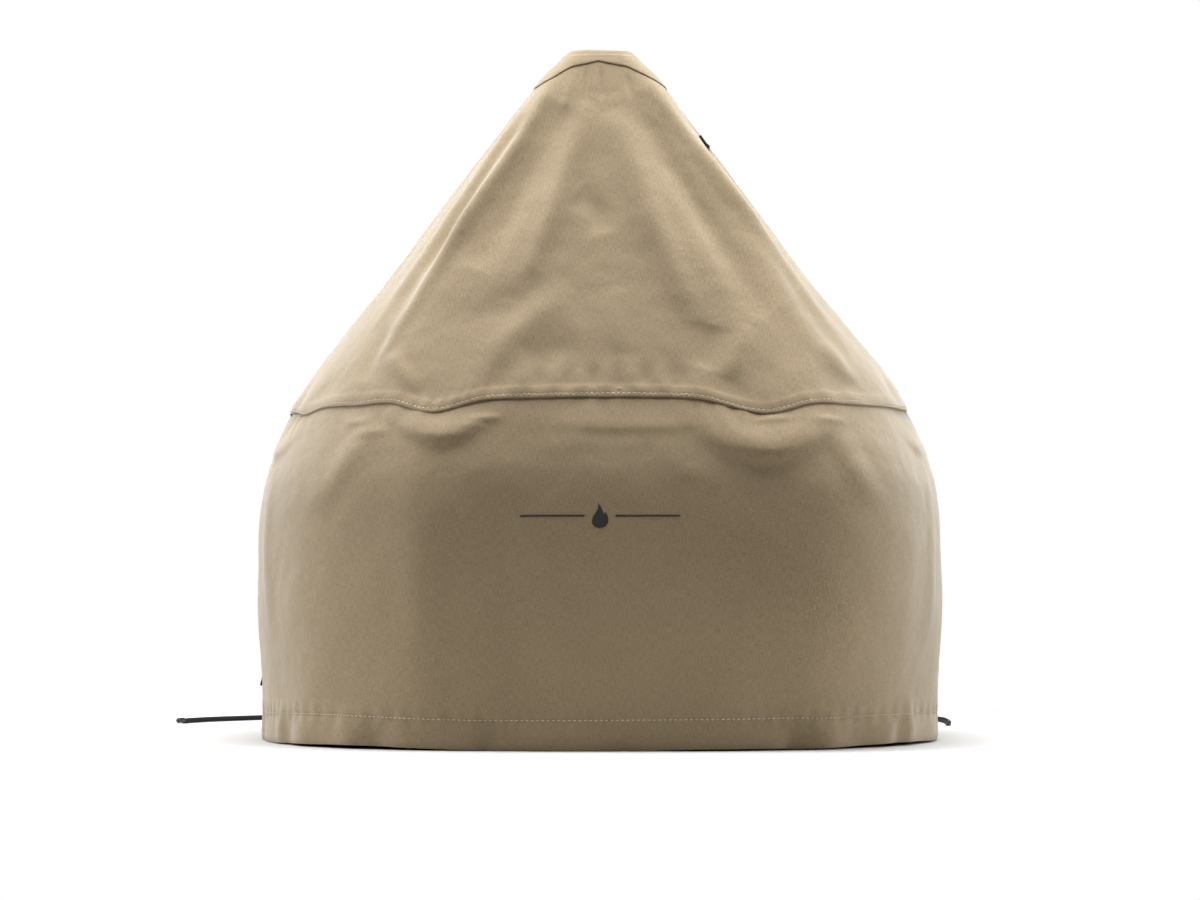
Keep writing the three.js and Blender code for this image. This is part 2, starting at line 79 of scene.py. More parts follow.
def through(levels, values, z):
    """A smooth line through a few (level, value) points that never overshoots them."""
    levels = np.asarray(levels, float)
    values = np.asarray(values, float)
    gaps = np.diff(levels)
    slopes = np.diff(values) / gaps
    tangents = np.zeros(len(levels))
    tangents[0], tangents[-1] = slopes[0], slopes[-1]
    for i in range(1, len(levels) - 1):
        before, after = slopes[i - 1], slopes[i]
        tangents[i] = 2 * before * after / (before + after) if before * after > 0 else 0
    i = np.clip(np.searchsorted(levels, z, side="right") - 1, 0, len(gaps) - 1)
    span = gaps[i]
    t = (z - levels[i]) / span
    return (
        values[i] * (1 + 2 * t) * (1 - t) ** 2
        + values[i + 1] * t ** 2 * (3 - 2 * t)
        + span * tangents[i] * t * (1 - t) ** 2
        + span * tangents[i + 1] * t ** 2 * (t - 1)
    )


def finish_mesh(name, bm, material, body="cover"):
    mesh = bpy.data.meshes.new(name)
    bm.to_mesh(mesh)
    bm.free()
    piece = bpy.data.objects.new(name, mesh)
    bpy.context.scene.collection.objects.link(piece)
    mesh.materials.append(material)
    mesh.polygons.foreach_set("use_smooth", [True] * len(mesh.polygons))
    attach(piece, body)
    return piece


def stands_for(piece, slot, *nodes):
    """Hides the CAD pieces this one replaces; the kind of material it has is not used."""
    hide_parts(*nodes)


# ---- The camera, at the height of a low table in front of the cover ------------------

CAMERA_HEIGHT = 0.176
CAMERA_BACK = 4.36
CAMERA_TILT = math.radians(1.78)
CAMERA_LENS = 120.6


def set_camera():
    data = bpy.data.cameras.new("camera")
    data.lens = CAMERA_LENS
    data.sensor_width = 36
    data.clip_end = 60
    camera = bpy.data.objects.new("camera", data)
    camera.location = (0, -CAMERA_BACK, CAMERA_HEIGHT)
    camera.rotation_euler = (math.pi / 2 + CAMERA_TILT, 0, 0)
    bpy.context.scene.collection.objects.link(camera)
    bpy.context.scene.camera = camera


set_camera()


# ---- Shader expressions -------------------------------------------------------------

class Value:
    """A shader socket that can be used in arithmetic; each operation adds a Math node."""

    def __init__(self, finish, socket):
        self.finish = finish
        self.socket = socket

    def _math(self, operation, *values):
        sockets = dict(enumerate(values))
        return self.finish.node("ShaderNodeMath", {"operation": operation}, sockets)

    def __add__(self, other):
        return self._math("ADD", self, other)

    def __sub__(self, other):
        return self._math("SUBTRACT", self, other)

    def __rsub__(self, other):
        return self._math("SUBTRACT", other, self)

    def __mul__(self, other):
        return self._math("MULTIPLY", self, other)

    __radd__ = __add__
    __rmul__ = __mul__

    def sine(self):
        return self._math("SINE", self)

    def absolute(self):
        return self._math("ABSOLUTE", self)

    def higher(self, other):
        return self._math("MAXIMUM", self, other)


class Finish:
    """One material: a Principled shader with its fixed settings, and the nodes that feed it."""

    def __init__(self, name, **settings):
        self.material = bpy.data.materials.new(name)
        self.material.use_nodes = True
        self.tree = self.material.node_tree
        self.shader = self.tree.nodes["Principled BSDF"]
        for key, value in settings.items():
            self.shader.inputs[key.replace("_", " ")].default_value = value

    def node(self, kind, settings=None, values=None, output=0):
        node = self.tree.nodes.new(kind)
        for key, value in (settings or {}).items():
            if key == "stops":
                self._set_stops(node, value)
            else:
                setattr(node, key, value)
        for key, value in (values or {}).items():
            self.feed(node.inputs[key], value)
        return Value(self, node.outputs[output])

    def _set_stops(self, node, stops):
        elements = node.color_ramp.elements
        while len(elements) < len(stops):
            elements.new(0.5)
        for element, (place, colour) in zip(elements, stops):
            element.position = place
            element.color = colour

    def feed(self, target, value):
        if isinstance(value, Value):
            self.tree.links.new(value.socket, target)
        else:
            target.default_value = value

    def surface(self, **values):
        for key, value in values.items():
            self.feed(self.shader.inputs[key.replace("_", " ")], value)
        return self.material

    def uv(self):
        return self.node("ShaderNodeUVMap", {"uv_map": "UVMap"})

    def place(self):
        return self.node("ShaderNodeTexCoord", output="Object")

    def noise(self, source, scale, detail=2.0, rough=0.5):
        return self.node("ShaderNodeTexNoise", values={
            "Vector": source, "Scale": scale, "Detail": detail, "Roughness": rough})

    def mix(self, share, first, second, blend="MIX"):
        return self.node("ShaderNodeMix", {"data_type": "RGBA", "blend_type": blend}, {
            "Factor": share, 6: first, 7: second}, output=2)

    def split(self, vector):
        node = self.node("ShaderNodeSeparateXYZ", values={0: vector}).socket.node
        return [Value(self, output) for output in node.outputs]

    def relief(self, height, distance, strength=1.0):
        return self.node("ShaderNodeBump", values={
            "Height": height, "Distance": distance, "Strength": strength})


def colour(red, green, blue):
    return (red, green, blue, 1.0)


# ---- Finishes -----------------------------------------------------------------------

THREAD = 0.00105
TAU = 2 * math.pi


def weave_height(finish, uv, pitch):
    """Over-and-under threads of a plain weave, from 0 to 1."""
    u, v, _ = finish.split(uv)
    across = (u * (math.pi / pitch)).sine()
    along = (v * (math.pi / pitch)).sine()
    return across.absolute().higher(along.absolute()) * 0.6 + (across * along) * 0.2


def streaks(finish, uv, across, along, seed):
    """Uneven thread colour: fine lines that run along one thread direction."""
    moved = finish.node("ShaderNodeMapping", values={
        "Vector": uv, "Location": (seed, seed, 0), "Scale": (1 / across, 1 / along, 1)})
    return finish.noise(moved, 1.0, 2.0, 0.6)


def shell_cloth(name, dark, light):
    cloth = Finish(name, Roughness=0.86, Sheen_Weight=0.75, Sheen_Roughness=0.42,
                   Specular_IOR_Level=0.25)
    cloth.shader.inputs["Sheen Tint"].default_value = colour(1.0, 0.965, 0.90)
    uv = cloth.uv()
    warp = streaks(cloth, uv, 0.0008, 0.0075, 3.0)
    weft = streaks(cloth, uv, 0.0055, 0.0009, 11.0)
    cloudy = cloth.noise(cloth.place(), 7.0, 3.0, 0.55)
    thread = (warp * 0.58 + weft * 0.42) * 0.9 + cloudy * 0.1
    tone = cloth.node("ShaderNodeValToRGB", {"stops": [(0.36, dark), (0.64, light)]}, {0: thread})
    weave = weave_height(cloth, uv, THREAD)
    crush = cloth.noise(cloth.place(), 55.0, 4.0, 0.6)
    fine = cloth.relief(weave + warp * 0.5, 0.00022)
    normal = cloth.node("ShaderNodeBump", values={
        "Height": crush, "Distance": 0.0016, "Strength": 0.35, "Normal": fine})
    return cloth.surface(Base_Color=tone, Normal=normal)


def printed_ink(name, tone):
    """Screen-printed ink that lets the weave show through."""
    ink = Finish(name, Roughness=0.7, Specular_IOR_Level=0.3)
    weave = weave_height(ink, ink.uv(), THREAD)
    worn = ink.noise(ink.place(), 900.0, 3.0, 0.6)
    shade = ink.mix(worn, tone, tuple(2.2 * c for c in tone[:3]) + (1,))
    return ink.surface(Base_Color=shade, Normal=ink.relief(weave, 0.0001))


def tape_cloth(name, tone, pitch):
    """Ribbed webbing or tape: cross ribs along its length, with painted shade that darkens the grooves
    between the ribs.
    """
    tape = Finish(name, Roughness=0.8, Sheen_Weight=0.2, Specular_IOR_Level=0.3)
    u, v, _ = tape.split(tape.uv())
    ribs = (v * (math.pi / pitch)).sine().absolute()
    rows = (u * (math.pi / (2.2 * pitch))).sine().absolute()
    height = ribs * 0.6 + rows * 0.4
    # Painted shade: the colour falls to 0.55 of the tone in the low grooves between the ribs.
    shade = tape.mix(height, tuple(0.55 * c for c in tone[:3]) + (1,), tone)
    return tape.surface(Base_Color=shade, Normal=tape.relief(height, 0.0004))


def braid(name, tone):
    """Round braided cord: crossing strands that wind round it, with painted shade that darkens the hollows
    between the strands.
    """
    cord = Finish(name, Roughness=0.7, Specular_IOR_Level=0.2)
    u, v, _ = cord.split(cord.uv())
    right = (u * (4 * TAU) + v * (TAU / 0.006)).sine()
    left = (u * (4 * TAU) - v * (TAU / 0.006)).sine()
    height = (right * left) * 0.5 + 0.5
    # Painted shade: the colour falls to 0.45 of the tone in the hollows between the strands.
    shade = cord.mix(height, tuple(0.45 * c for c in tone[:3]) + (1,), tone)
    return cord.surface(Base_Color=shade, Normal=cord.relief(height, 0.0005))


def moulded(name, tone, rough):
    plastic = Finish(name, Roughness=rough, Specular_IOR_Level=0.5)
    grain = plastic.noise(plastic.place(), 1400.0, 3.0, 0.6)
    scuff = plastic.noise(plastic.place(), 160.0, 4.0, 0.7)
    shade = plastic.mix(scuff, tone, tuple(min(1, 1.9 * c) for c in tone[:3]) + (1,))
    return plastic.surface(Base_Color=shade, Roughness=scuff * 0.25 + (rough - 0.1),
                           Normal=plastic.relief(grain, 0.00008))


def metal(name, tone, rough):
    plate = Finish(name, Metallic=1.0, Roughness=rough)
    wear = plate.noise(plate.place(), 320.0, 5.0, 0.65)
    shade = plate.mix(wear, tone, tuple(min(1, 1.7 * c) for c in tone[:3]) + (1,))
    return plate.surface(Base_Color=shade, Roughness=wear * 0.3 + (rough - 0.12),
                         Normal=plate.relief(wear, 0.00006))


SHELL = shell_cloth("shell_cloth", colour(0.232, 0.171, 0.097), colour(0.352, 0.269, 0.162))
LINING = shell_cloth("lining_cloth", colour(0.13, 0.098, 0.062), colour(0.2, 0.155, 0.105))
THREAD_PALE = tape_cloth("pale_thread", colour(0.76, 0.67, 0.53), 0.0006)
THREAD_TAN = tape_cloth("tan_thread", colour(0.3, 0.235, 0.155), 0.0006)
THREAD_DARK = tape_cloth("dark_thread", colour(0.05, 0.048, 0.045), 0.0006)
INK = printed_ink("charcoal_ink", colour(0.022, 0.021, 0.02))
BINDING = tape_cloth("black_binding", colour(0.03, 0.029, 0.027), 0.0012)
WEBBING = tape_cloth("black_webbing", colour(0.028, 0.027, 0.026), 0.0016)
LABEL = tape_cloth("blank_label", colour(0.75, 0.73, 0.69), 0.0007)
CORD = braid("black_braid", colour(0.011, 0.0105, 0.010))
PLASTIC = moulded("black_plastic", colour(0.012, 0.012, 0.013), 0.34)
GUNMETAL = metal("gunmetal", colour(0.1, 0.097, 0.092), 0.34)
SPRING_WIRE = metal("spring_wire", colour(0.5, 0.5, 0.5), 0.28)


# ---- Drawcord tails, in the order they are seen from the hem -------------------------

LEFT_TAIL = [
    (-9, 346, 13), (-8.8, 351, 13), (-6, 362, 13), (-3.3, 374, 13), (-3.3, 386, 13), (-3.3, 402, 13),
    (-3.3, 420, 13), (-3.3, 440, 13), (-3.3, 456, 13), (-6, 473, 8.8), (-14, 488, 4.6),
    (-34, 502, 3.3), (-85, 524, 3.3), (-170, 552, 3.3), (-265, 568, 3.3), (-345, 556, 3.3),
    (-408, 520, 3.3), (-451, 478, 3.3), (-478, 440, 3.3), (-493, 406, 3.3),
]
RIGHT_TAIL = [
    (9, 346, 13), (8.8, 351, 13), (6, 362, 13), (3.3, 374, 13), (3.3, 386, 13), (3.3, 402, 13),
    (3.3, 420, 13), (3.3, 440, 13), (3.3, 456, 13), (6, 473, 8.8), (14, 488, 4.6),
    (34, 502, 3.3), (95, 528, 3.3), (180, 556, 3.3), (270, 572, 3.3), (345, 562, 3.3),
    (392, 520, 3.3), (408, 460, 3.3), (410, 400, 3.3), (407, 345, 3.3),
]
CORD_SIDES = 14
CORD_STEP = 0.003


def smooth_route(points, step):
    """Evenly spaced points on one smooth curve through a cord's chosen points."""
    points = [Vector(p) for p in points]
    ends = [2 * points[0] - points[1]] + points + [2 * points[-1] - points[-2]]
    dense = []
    for i in range(1, len(ends) - 2):
        before, start, end, after = ends[i - 1:i + 3]
        for k in range(40):
            t = k / 40
            dense.append(0.5 * (
                2 * start + (end - before) * t
                + (2 * before - 5 * start + 4 * end - after) * t * t
                + (3 * start - before - 3 * end + after) * t ** 3))
    dense.append(points[-1])
    lengths = [0.0]
    for a, b in zip(dense, dense[1:]):
        lengths.append(lengths[-1] + (b - a).length)
    count = max(2, round(lengths[-1] / step))
    places = np.linspace(0, lengths[-1], count + 1)
    columns = [np.interp(places, lengths, [p[axis] for p in dense]) for axis in range(3)]
    return [Vector(p) for p in zip(*columns)], lengths[-1]


def tube_along(name, route, diameter, material, sides=CORD_SIDES, body="cover"):
    """A round tube swept along a route, with a map in turns round it and metres along it."""
    bm = bmesh.new()
    uv_layer = bm.loops.layers.uv.new("UVMap")
    first = bmesh.ops.create_circle(bm, cap_ends=False, segments=sides, radius=diameter / 2)
    ring = first["verts"]
    row = {vert: 0 for vert in ring}
    heading = (route[1] - route[0]).normalized()
    at = Matrix.Translation(route[0]) @ Vector((0, 0, 1)).rotation_difference(heading).to_matrix().to_4x4()
    bmesh.ops.transform(bm, matrix=at, verts=ring)
    edges = bm.edges[:]
    first_edges = edges
    for i in range(1, len(route)):
        grown = bmesh.ops.extrude_edge_only(bm, edges=edges)["geom"]
        new_verts = [g for g in grown if isinstance(g, bmesh.types.BMVert)]
        edges = [g for g in grown if isinstance(g, bmesh.types.BMEdge)]
        nxt = route[min(i + 1, len(route) - 1)] - route[i - 1]
        turn = heading.rotation_difference(nxt.normalized())
        move = Matrix.Translation(route[i]) @ turn.to_matrix().to_4x4() @ Matrix.Translation(-route[i - 1])
        bmesh.ops.transform(bm, matrix=move, verts=new_verts)
        heading = nxt.normalized()
        for vert in new_verts:
            row[vert] = i
    bmesh.ops.edgeloop_fill(bm, edges=first_edges)
    bmesh.ops.edgeloop_fill(bm, edges=edges)
    bmesh.ops.recalc_face_normals(bm, faces=bm.faces)
    step = (route[1] - route[0]).length
    for face in bm.faces:
        turns = []
        for loop in face.loops:
            i = row[loop.vert]
            here = route[i]
            ahead = (route[min(i + 1, len(route) - 1)] - route[max(i - 1, 0)]).normalized()
            side = ahead.cross(Vector((0, 0, 1))).normalized()
            up = side.cross(ahead)
            out = loop.vert.co - here
            turns.append(math.atan2(out.dot(up), out.dot(side)) / TAU)
        for loop, turn in zip(face.loops, turns):
            if turns[0] - turn > 0.5:
                turn += 1
            elif turn - turns[0] > 0.5:
                turn -= 1
            loop[uv_layer].uv = (turn, row[loop.vert] * step)
    return finish_mesh(name, bm, material, body)


def spun(name, profile, axis, centre, material, body="cover", steps=32):
    """A turned piece: a profile of (radius, height) spun about an axis through a point."""
    bm = bmesh.new()
    verts = [bm.verts.new((radius, 0, height)) for radius, height in profile]
    edges = [bm.edges.new(pair) for pair in zip(verts, verts[1:])]
    bmesh.ops.spin(bm, geom=verts + edges, cent=(0, 0, 0), axis=(0, 0, 1), angle=TAU,
                   steps=steps, use_merge=True, use_duplicate=False)
    bmesh.ops.remove_doubles(bm, verts=bm.verts, dist=1e-6)
    bmesh.ops.recalc_face_normals(bm, faces=bm.faces)
    turn = Vector((0, 0, 1)).rotation_difference(Vector(axis).normalized()).to_matrix().to_4x4()
    bmesh.ops.transform(bm, matrix=Matrix.Translation(centre) @ turn, verts=bm.verts)
    return finish_mesh(name, bm, material, body)


def cord_tip(name, node, heading):
    """A moulded cord end: a ribbed sleeve that swells to a rounded tip."""
    low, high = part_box(node)
    centre = (low + high) / 2
    length, radius, sleeve, groove = 0.0158, 0.00315, 0.0031, 0.00288
    profile = [(0, 0), (0.0029, 0), (sleeve, 0.0005), (sleeve, 0.0014)]
    rib = [(groove, 0.0002), (groove, 0.0006), (sleeve, 0.0009), (sleeve, 0.0013)]
    for i in range(4):
        profile += [(reach, 0.0014 + i * 0.0014 + height) for reach, height in rib]
    belly = length - radius - 0.0004
    for i in range(9):
        turn = math.radians(90 * i / 8)
        profile.append((radius * math.cos(turn), belly + 0.0034 * math.sin(turn)))
    start = centre - heading * length / 2
    piece = spun(name, profile, heading, start, PLASTIC, steps=28)
    stands_for(piece, "moulded_plastic", node)
    return piece


def drawcord_tail(hand, points):
    route, length = smooth_route([tuple(v / 1000 for v in p) for p in points], CORD_STEP)
    tail = tube_along(f"drawcord_{hand}", route, CORD_DIAMETER, CORD)
    stands_for(tail, "drawcord", f"drawcord_tail_{hand}")
    heading = (route[-1] - route[-2]).normalized()
    tip = cord_tip(f"tip_{hand}", f"cord_end_{hand}", heading)
    return tail


drawcord_tail("left", LEFT_TAIL)
drawcord_tail("right", RIGHT_TAIL)


# ---- The draped form ----------------------------------------------------------------

FORM_LEVELS = [0, HEM, WAIST - 0.190, WAIST - 0.143, WAIST - 0.112, WAIST - 0.085, WAIST - 0.051, WAIST]
FORM_INSETS = [0.006, 0.006, 0, 0.0006, 0.0022, 0.0056, 0.0152, 0.0375]
CONE_LEVELS = [0.381, 0.398, 0.43, 0.494, 0.559, 0.624, 0.689, 0.706, 0.719, 0.732]
CONE_HALVES = [0.3130, 0.3010, 0.2740, 0.2195, 0.1705, 0.1210, 0.0730, 0.0595, 0.0450, 0.034]
CROWN_HALF = 0.046


def form_point(angle, z):
    """The smooth draped form, before folds: angle 0 is the right side, a quarter turn the rear."""
    rise = np.clip((z - WAIST) / (0.719 - WAIST), 0, 1.05)
    skirt = through(FORM_LEVELS, FORM_INSETS, np.minimum(z, WAIST))
    foot = HALF_WIDTH - FORM_INSETS[-1]
    cone_side = through([WAIST] + CONE_LEVELS, [foot] + CONE_HALVES, np.maximum(z, WAIST))
    side = np.where(z < WAIST, HALF_WIDTH - skirt, cone_side)
    depth = (HALF_DEPTH - skirt) * (1 - rise) + CROWN_HALF * rise
    centre = CROWN_CENTRE * np.minimum(rise, 1)
    c, s = np.cos(angle), np.sin(angle)
    square_left = 3.5 + 0.7 * rise
    square_right = 6.2 - 0.9 * rise - 2.6 * (1 - smooth_step(0.0, 0.2, z))
    front = square_left + (square_right - square_left) * smooth_step(-0.3, 0.5, c)
    power = np.where(s < 0, front, 3.0 - 0.6 * rise)
    reach = (np.abs(c) ** power + np.abs(s) ** power) ** (-1 / power)
    taper = (0.24 - 0.14 * rise) * np.maximum(0, -reach * s) ** 2
    return side * reach * c * (1 - taper), centre + depth * reach * s


# Folds on each face, in millimetres: a half width, a height (hollows are negative) and
# the line it follows, as places along the face and levels. They fade out towards both ends.
FOLD_TAPER = 0.7
FRONT_FOLDS = [
    # ridges from the crown to the front corners, each with its valley and a second fold
    (7, 7.4, [(50, 700), (82, 654), (103, 620), (131, 578), (161, 536), (219, 454), (258, 407)]),
    (6.6, -6.2, [(70, 680), (113, 620), (142, 578), (174, 536), (235, 454)]),
    (7.5, 6.8, [(-48, 700), (-86, 628), (-113, 582), (-158, 505), (-198, 440), (-236, 385)]),
    (5.6, -4.4, [(-76, 660), (-112, 601), (-138, 561), (-182, 486)]),
    (6, 4.4, [(-78, 670), (-123, 600), (-150, 560), (-196, 486), (-236, 430)]),
    # the front of the cone between them
    (18, -8.5, [(40, 684), (50, 655), (74, 610), (104, 560), (136, 500), (170, 440)]),
    (17, 6.8, [(16, 665), (34, 600), (55, 540), (78, 480), (100, 430)]),
    (13, 4.8, [(-12, 675), (-34, 600), (-56, 530), (-85, 460)]),
    (20, -8, [(-42, 672), (-57, 635), (-78, 590), (-98, 550), (-128, 490)]),
    (15, -3.4, [(-24, 572), (-4, 556), (4, 528)]),
    (15, 3, [(-128, 378), (-75, 430), (-30, 470)]),
    (18, -2.2, [(-160, 425), (-100, 447), (-70, 490)]),
    (16, -3.4, [(105, 385), (115, 430)]),
    (18, 2.6, [(20, 400), (12, 470)]),
    (14, -1.8, [(-80, 395), (-20, 410)]),
    (15, -1.4, [(190, 450), (205, 385)]),
    (12, 2.6, [(150, 430), (130, 372)]),
    (8, 3.8, [(225, 415), (258, 372)]),
    (9, 3.4, [(-215, 402), (-185, 362)]),
    (9, -2.6, [(-245, 375), (-215, 430)]),
    # creases under the crown cap
    (2.6, -1.3, [(-14.5, 712), (-16.5, 672)]),
    (2.8, -1.3, [(1, 712), (3, 674)]),
    (4, -1, [(28, 706), (34, 676)]),
    (4, 0.8, [(-30, 700), (-40, 660)]),
    # small drawn folds under the waist seam
    (3.6, 1.6, [(-136, 331.5), (-98, 334.5)]),
    (3.2, 1.2, [(-140, 324.5), (-118, 326.5)]),
    (4, 1.4, [(-262, 331), (-236, 333)]),
    (4.6, 1.3, [(-250, 318.5), (-212, 322)]),
    (3.8, 1.6, [(212, 332.5), (250, 331)]),
    (3.4, 1.3, [(150, 330), (196, 333.5)]),
    (13, 3.4, [(226, 335), (285, 240)]),
    (12, 3, [(-225, 335), (-295, 240)]),
    (16, 1.6, [(50, 300), (120, 262)]),
    (20, 1.4, [(20, 145), (160, 115)]),
    (26, -2.4, [(-120, 280), (-80, 60)]),
    (24, 3.6, [(-190, 320), (-175, 20)]),
    # kinks at the hem, where the skirt stands on the floor
    (15, 4.6, [(-256, -30), (-254, 45)]),
    (14, -3.4, [(-226, -30), (-222, 36)]),
    (8, -2.6, [(-326, -20), (-323, 30)]),
    (11, 3.6, [(-304, -30), (-303, 30)]),
    (15, -3.4, [(-118, -30), (-108, 40)]),
    (20, 2.2, [(-62, -30), (-58, 34)]),
    (18, -1.8, [(20, -30), (22, 30)]),
    (14, -4.2, [(196, -30), (190, 36)]),
    (15, 4.4, [(228, -30), (232, 44)]),
    (13, -2.6, [(262, -30), (266, 34)]),
    (9, 2.6, [(288, -20), (300, 34)]),
    (7, -2.4, [(306, -20), (311, 30)]),
    (10, 2, [(322, -30), (324, 36)]),
]
RIGHT_FOLDS = [
    (12, 4.6, [(-100, 690), (-170, 560), (-230, 450), (-260, 380)]),
    (18, -3.6, [(-70, 670), (-100, 550), (-120, 460)]),
    (15, 5, [(-50, 680), (-20, 560), (0, 430)]),
    (20, -3.6, [(-20, 660), (60, 540), (110, 440)]),
    (11, 5.2, [(0, 680), (100, 570), (200, 450), (260, 380)]),
    (18, 2.8, [(-160, 300), (-180, 100)]),
    (20, -3.4, [(-60, 280), (-50, 80)]),
    (16, 3, [(60, 260), (80, 90)]),
    (13, 3.4, [(-200, -30), (-200, 50)]),
    (11, -3, [(-90, -30), (-88, 40)]),
    (13, 3, [(30, -30), (34, 45)]),
    (11, -3, [(235, -30), (232, 40)]),
]
LEFT_FOLDS = [
    (12, 4.6, [(-100, 690), (-170, 560), (-220, 460), (-250, 390)]),
    (17, -3, [(-80, 660), (-120, 540), (-140, 450)]),
    (16, 4.8, [(-50, 680), (-40, 550), (-60, 420)]),
    (20, -3.4, [(-20, 650), (40, 540), (80, 440)]),
    (11, 5.2, [(0, 680), (90, 570), (190, 450), (250, 380)]),
    (18, 3, [(-130, 290), (-150, 110)]),
    (18, -3, [(130, 270), (120, 100)]),
    (13, 3.4, [(-170, -30), (-170, 45)]),
    (11, -3, [(-70, -30), (-72, 40)]),
    (13, 3, [(110, -30), (108, 45)]),
]
REAR_FOLDS = [
    (13, 5.2, [(-40, 690), (-110, 570), (-190, 460), (-240, 380)]),
    (13, 5.2, [(40, 690), (120, 570), (200, 460), (250, 380)]),
    (20, -6, [(-20, 670), (-60, 550), (-100, 440)]),
    (20, -5.6, [(20, 670), (70, 550), (110, 440)]),
    (15, 4.4, [(0, 660), (-10, 540), (10, 420)]),
    (15, -3.6, [(-180, 420), (-150, 370)]),
    (20, 3, [(-170, 280), (-190, 80)]),
    (20, 3, [(180, 290), (200, 90)]),
    (24, -2.8, [(-70, 290), (-90, 120)]),
    (22, -2.4, [(90, 280), (80, 120)]),
    (14, 3.6, [(-240, -30), (-240, 50)]),
    (11, -3, [(-140, -30), (-142, 40)]),
    (11, -3, [(150, -30), (152, 40)]),
    (14, 3.6, [(250, -30), (250, 50)]),
]
FOLDS = {"front": FRONT_FOLDS, "right": RIGHT_FOLDS, "left": LEFT_FOLDS, "rear": REAR_FOLDS}
# Pouches that sag under the waist seam: face, centre, level of the lowest line, half width,
# how far the line curls up at its ends, height, and how far up the pouch reaches.
POUCHES = [
    ("front", 0.166, 0.2985, 0.056, 0.020, 0.0098, 0.027),
    ("front", -0.160, 0.3150, 0.040, 0.012, 0.0064, 0.018),
    ("front", 0.030, 0.3240, 0.070, 0.003, 0.0014, 0.012),
    ("rear", -0.120, 0.3080, 0.060, 0.016, 0.0040, 0.018),
    ("rear", 0.170, 0.3040, 0.046, 0.012, 0.0048, 0.020),
    ("right", 0.120, 0.3040, 0.045, 0.012, 0.0040, 0.020),
    ("right", -0.150, 0.3080, 0.035, 0.010, 0.0030, 0.016),
    ("left", -0.110, 0.3050, 0.045, 0.012, 0.0032, 0.020),
    ("left", 0.140, 0.3070, 0.040, 0.010, 0.0035, 0.016),
]
# Slow waves round the skirt: waves per turn, phase and height.
SKIRT_WAVES = [(5, 0.6, 0.0012), (9, 2.1, 0.0011), (14, 4.0, 0.0009), (23, 1.0, 0.0006)]
# Places where a fitting is sewn on, so the cloth lies flat: turn, level and reach.
FLAT_SPOTS = [(math.pi / 2, 0.013, 0.07), (math.pi, 0.073, 0.05), (math.pi / 7, 0.073, 0.05)]


def facing(face, angle):
    """1 on the named face of the cover, falling to 0 round its corners."""
    toward = {"front": -np.sin(angle), "rear": np.sin(angle), "right": np.cos(angle), "left": -np.cos(angle)}
    return smooth_step(0.02, 0.4, toward[face])


def nearest_on_line(a, z, line):
    """Distance to a line of points, and how far along it the nearest point lies, from 0 to 1."""
    nearest = np.full(np.shape(a), 9000.0)
    along = np.zeros(np.shape(a))
    spans = [math.dist(start, end) for start, end in zip(line, line[1:])]
    done = 0.0
    for (a0, z0), (a1, z1), span in zip(line, line[1:], spans):
        run_a, run_z = a1 - a0, z1 - z0
        share = np.clip(((a - a0) * run_a + (z - z0) * run_z) / span ** 2, 0, 1)
        distance = np.hypot(a - a0 - share * run_a, z - z0 - share * run_z)
        along = np.where(distance < nearest, (done + share * span) / sum(spans), along)
        nearest = np.minimum(nearest, distance)
        done += span
    return nearest, along


def fold_field(angle, z):
    """How far the cloth stands off the smooth form, in metres."""
    x, y = form_point(angle, z)
    along = {"front": x, "rear": x, "right": y, "left": y}
    masks = {face: facing(face, angle) for face in along}
    lift = np.zeros(np.shape(z))
    for face, folds in FOLDS.items():
        for width, height, line in folds:
            distance, share = nearest_on_line(along[face] * 1000, z * 1000, line)
            taper = np.sin(math.pi * share).clip(0, 1) ** FOLD_TAPER
            lift += masks[face] * height / 1000 * taper * np.exp(-((distance / width) ** 2))
    for face, centre, level, width, curl, height, reach in POUCHES:
        t = (along[face] - centre) / width
        above = (z - (level + curl * t * t)) / (reach * np.hypot(1, 2 * curl * t / width))
        shape = np.where(above > 0, np.exp(-above * above), np.exp(-((above / 0.42) ** 2)))
        lift += masks[face] * height * np.exp(-t * t) * shape
    skirt = 1 - smooth_step(WAIST - 0.05, WAIST, z)
    grow = 0.3 + 0.7 * (1 - smooth_step(0.02, 0.26, z))
    for turns, phase, height in SKIRT_WAVES:
        lift += skirt * grow * height * np.cos(turns * angle + phase)
    for turn, level, reach in FLAT_SPOTS:
        away = np.hypot((angle - turn) * 0.35, z - level) / reach
        lift *= 1 - np.exp(-away ** 4)
    return lift


def ripple(points):
    """Small creases in the cloth, from smooth noise; they die away at the hem and the crown."""
    z = points[:, 2]
    fade = smooth_step(0.0, 0.02, z) * (1 - smooth_step(0.68, 0.71, z))
    coarse = np.array([noise.noise(p) for p in (points / 0.047).tolist()])
    fine = np.array([noise.noise(p) for p in (points / 0.018 + 4.0).tolist()])
    return fade * (0.0010 * coarse + 0.00035 * fine)


# Where the waist seam dips: place along the front, half width and depth.
WAIST_DIPS = [(-0.166, 0.036, 0.0135), (0.163, 0.044, 0.0155), (-0.303, 0.012, 0.006), (0.02, 0.09, -0.002)]


def waist_edge(angle):
    """Height of the upper panels' lower edge; it sags in a few places."""
    x, _ = form_point(angle, np.full(np.shape(angle), WAIST))
    drop = 0.004 * facing("front", angle) * smooth_step(0.2, 0.25, np.abs(x))
    for centre, width, depth in WAIST_DIPS:
        drop = drop + facing("front", angle) * depth * bump(x, centre, width)
    drop = drop + facing("rear", angle) * (0.010 * bump(x, -0.12, 0.045) + 0.012 * bump(x, 0.15, 0.05))
    sides = facing("right", angle) * bump(np.sin(angle), 0.2, 0.2)
    sides = sides + facing("left", angle) * bump(np.sin(angle), -0.1, 0.2)
    return WAIST - drop - 0.006 * sides


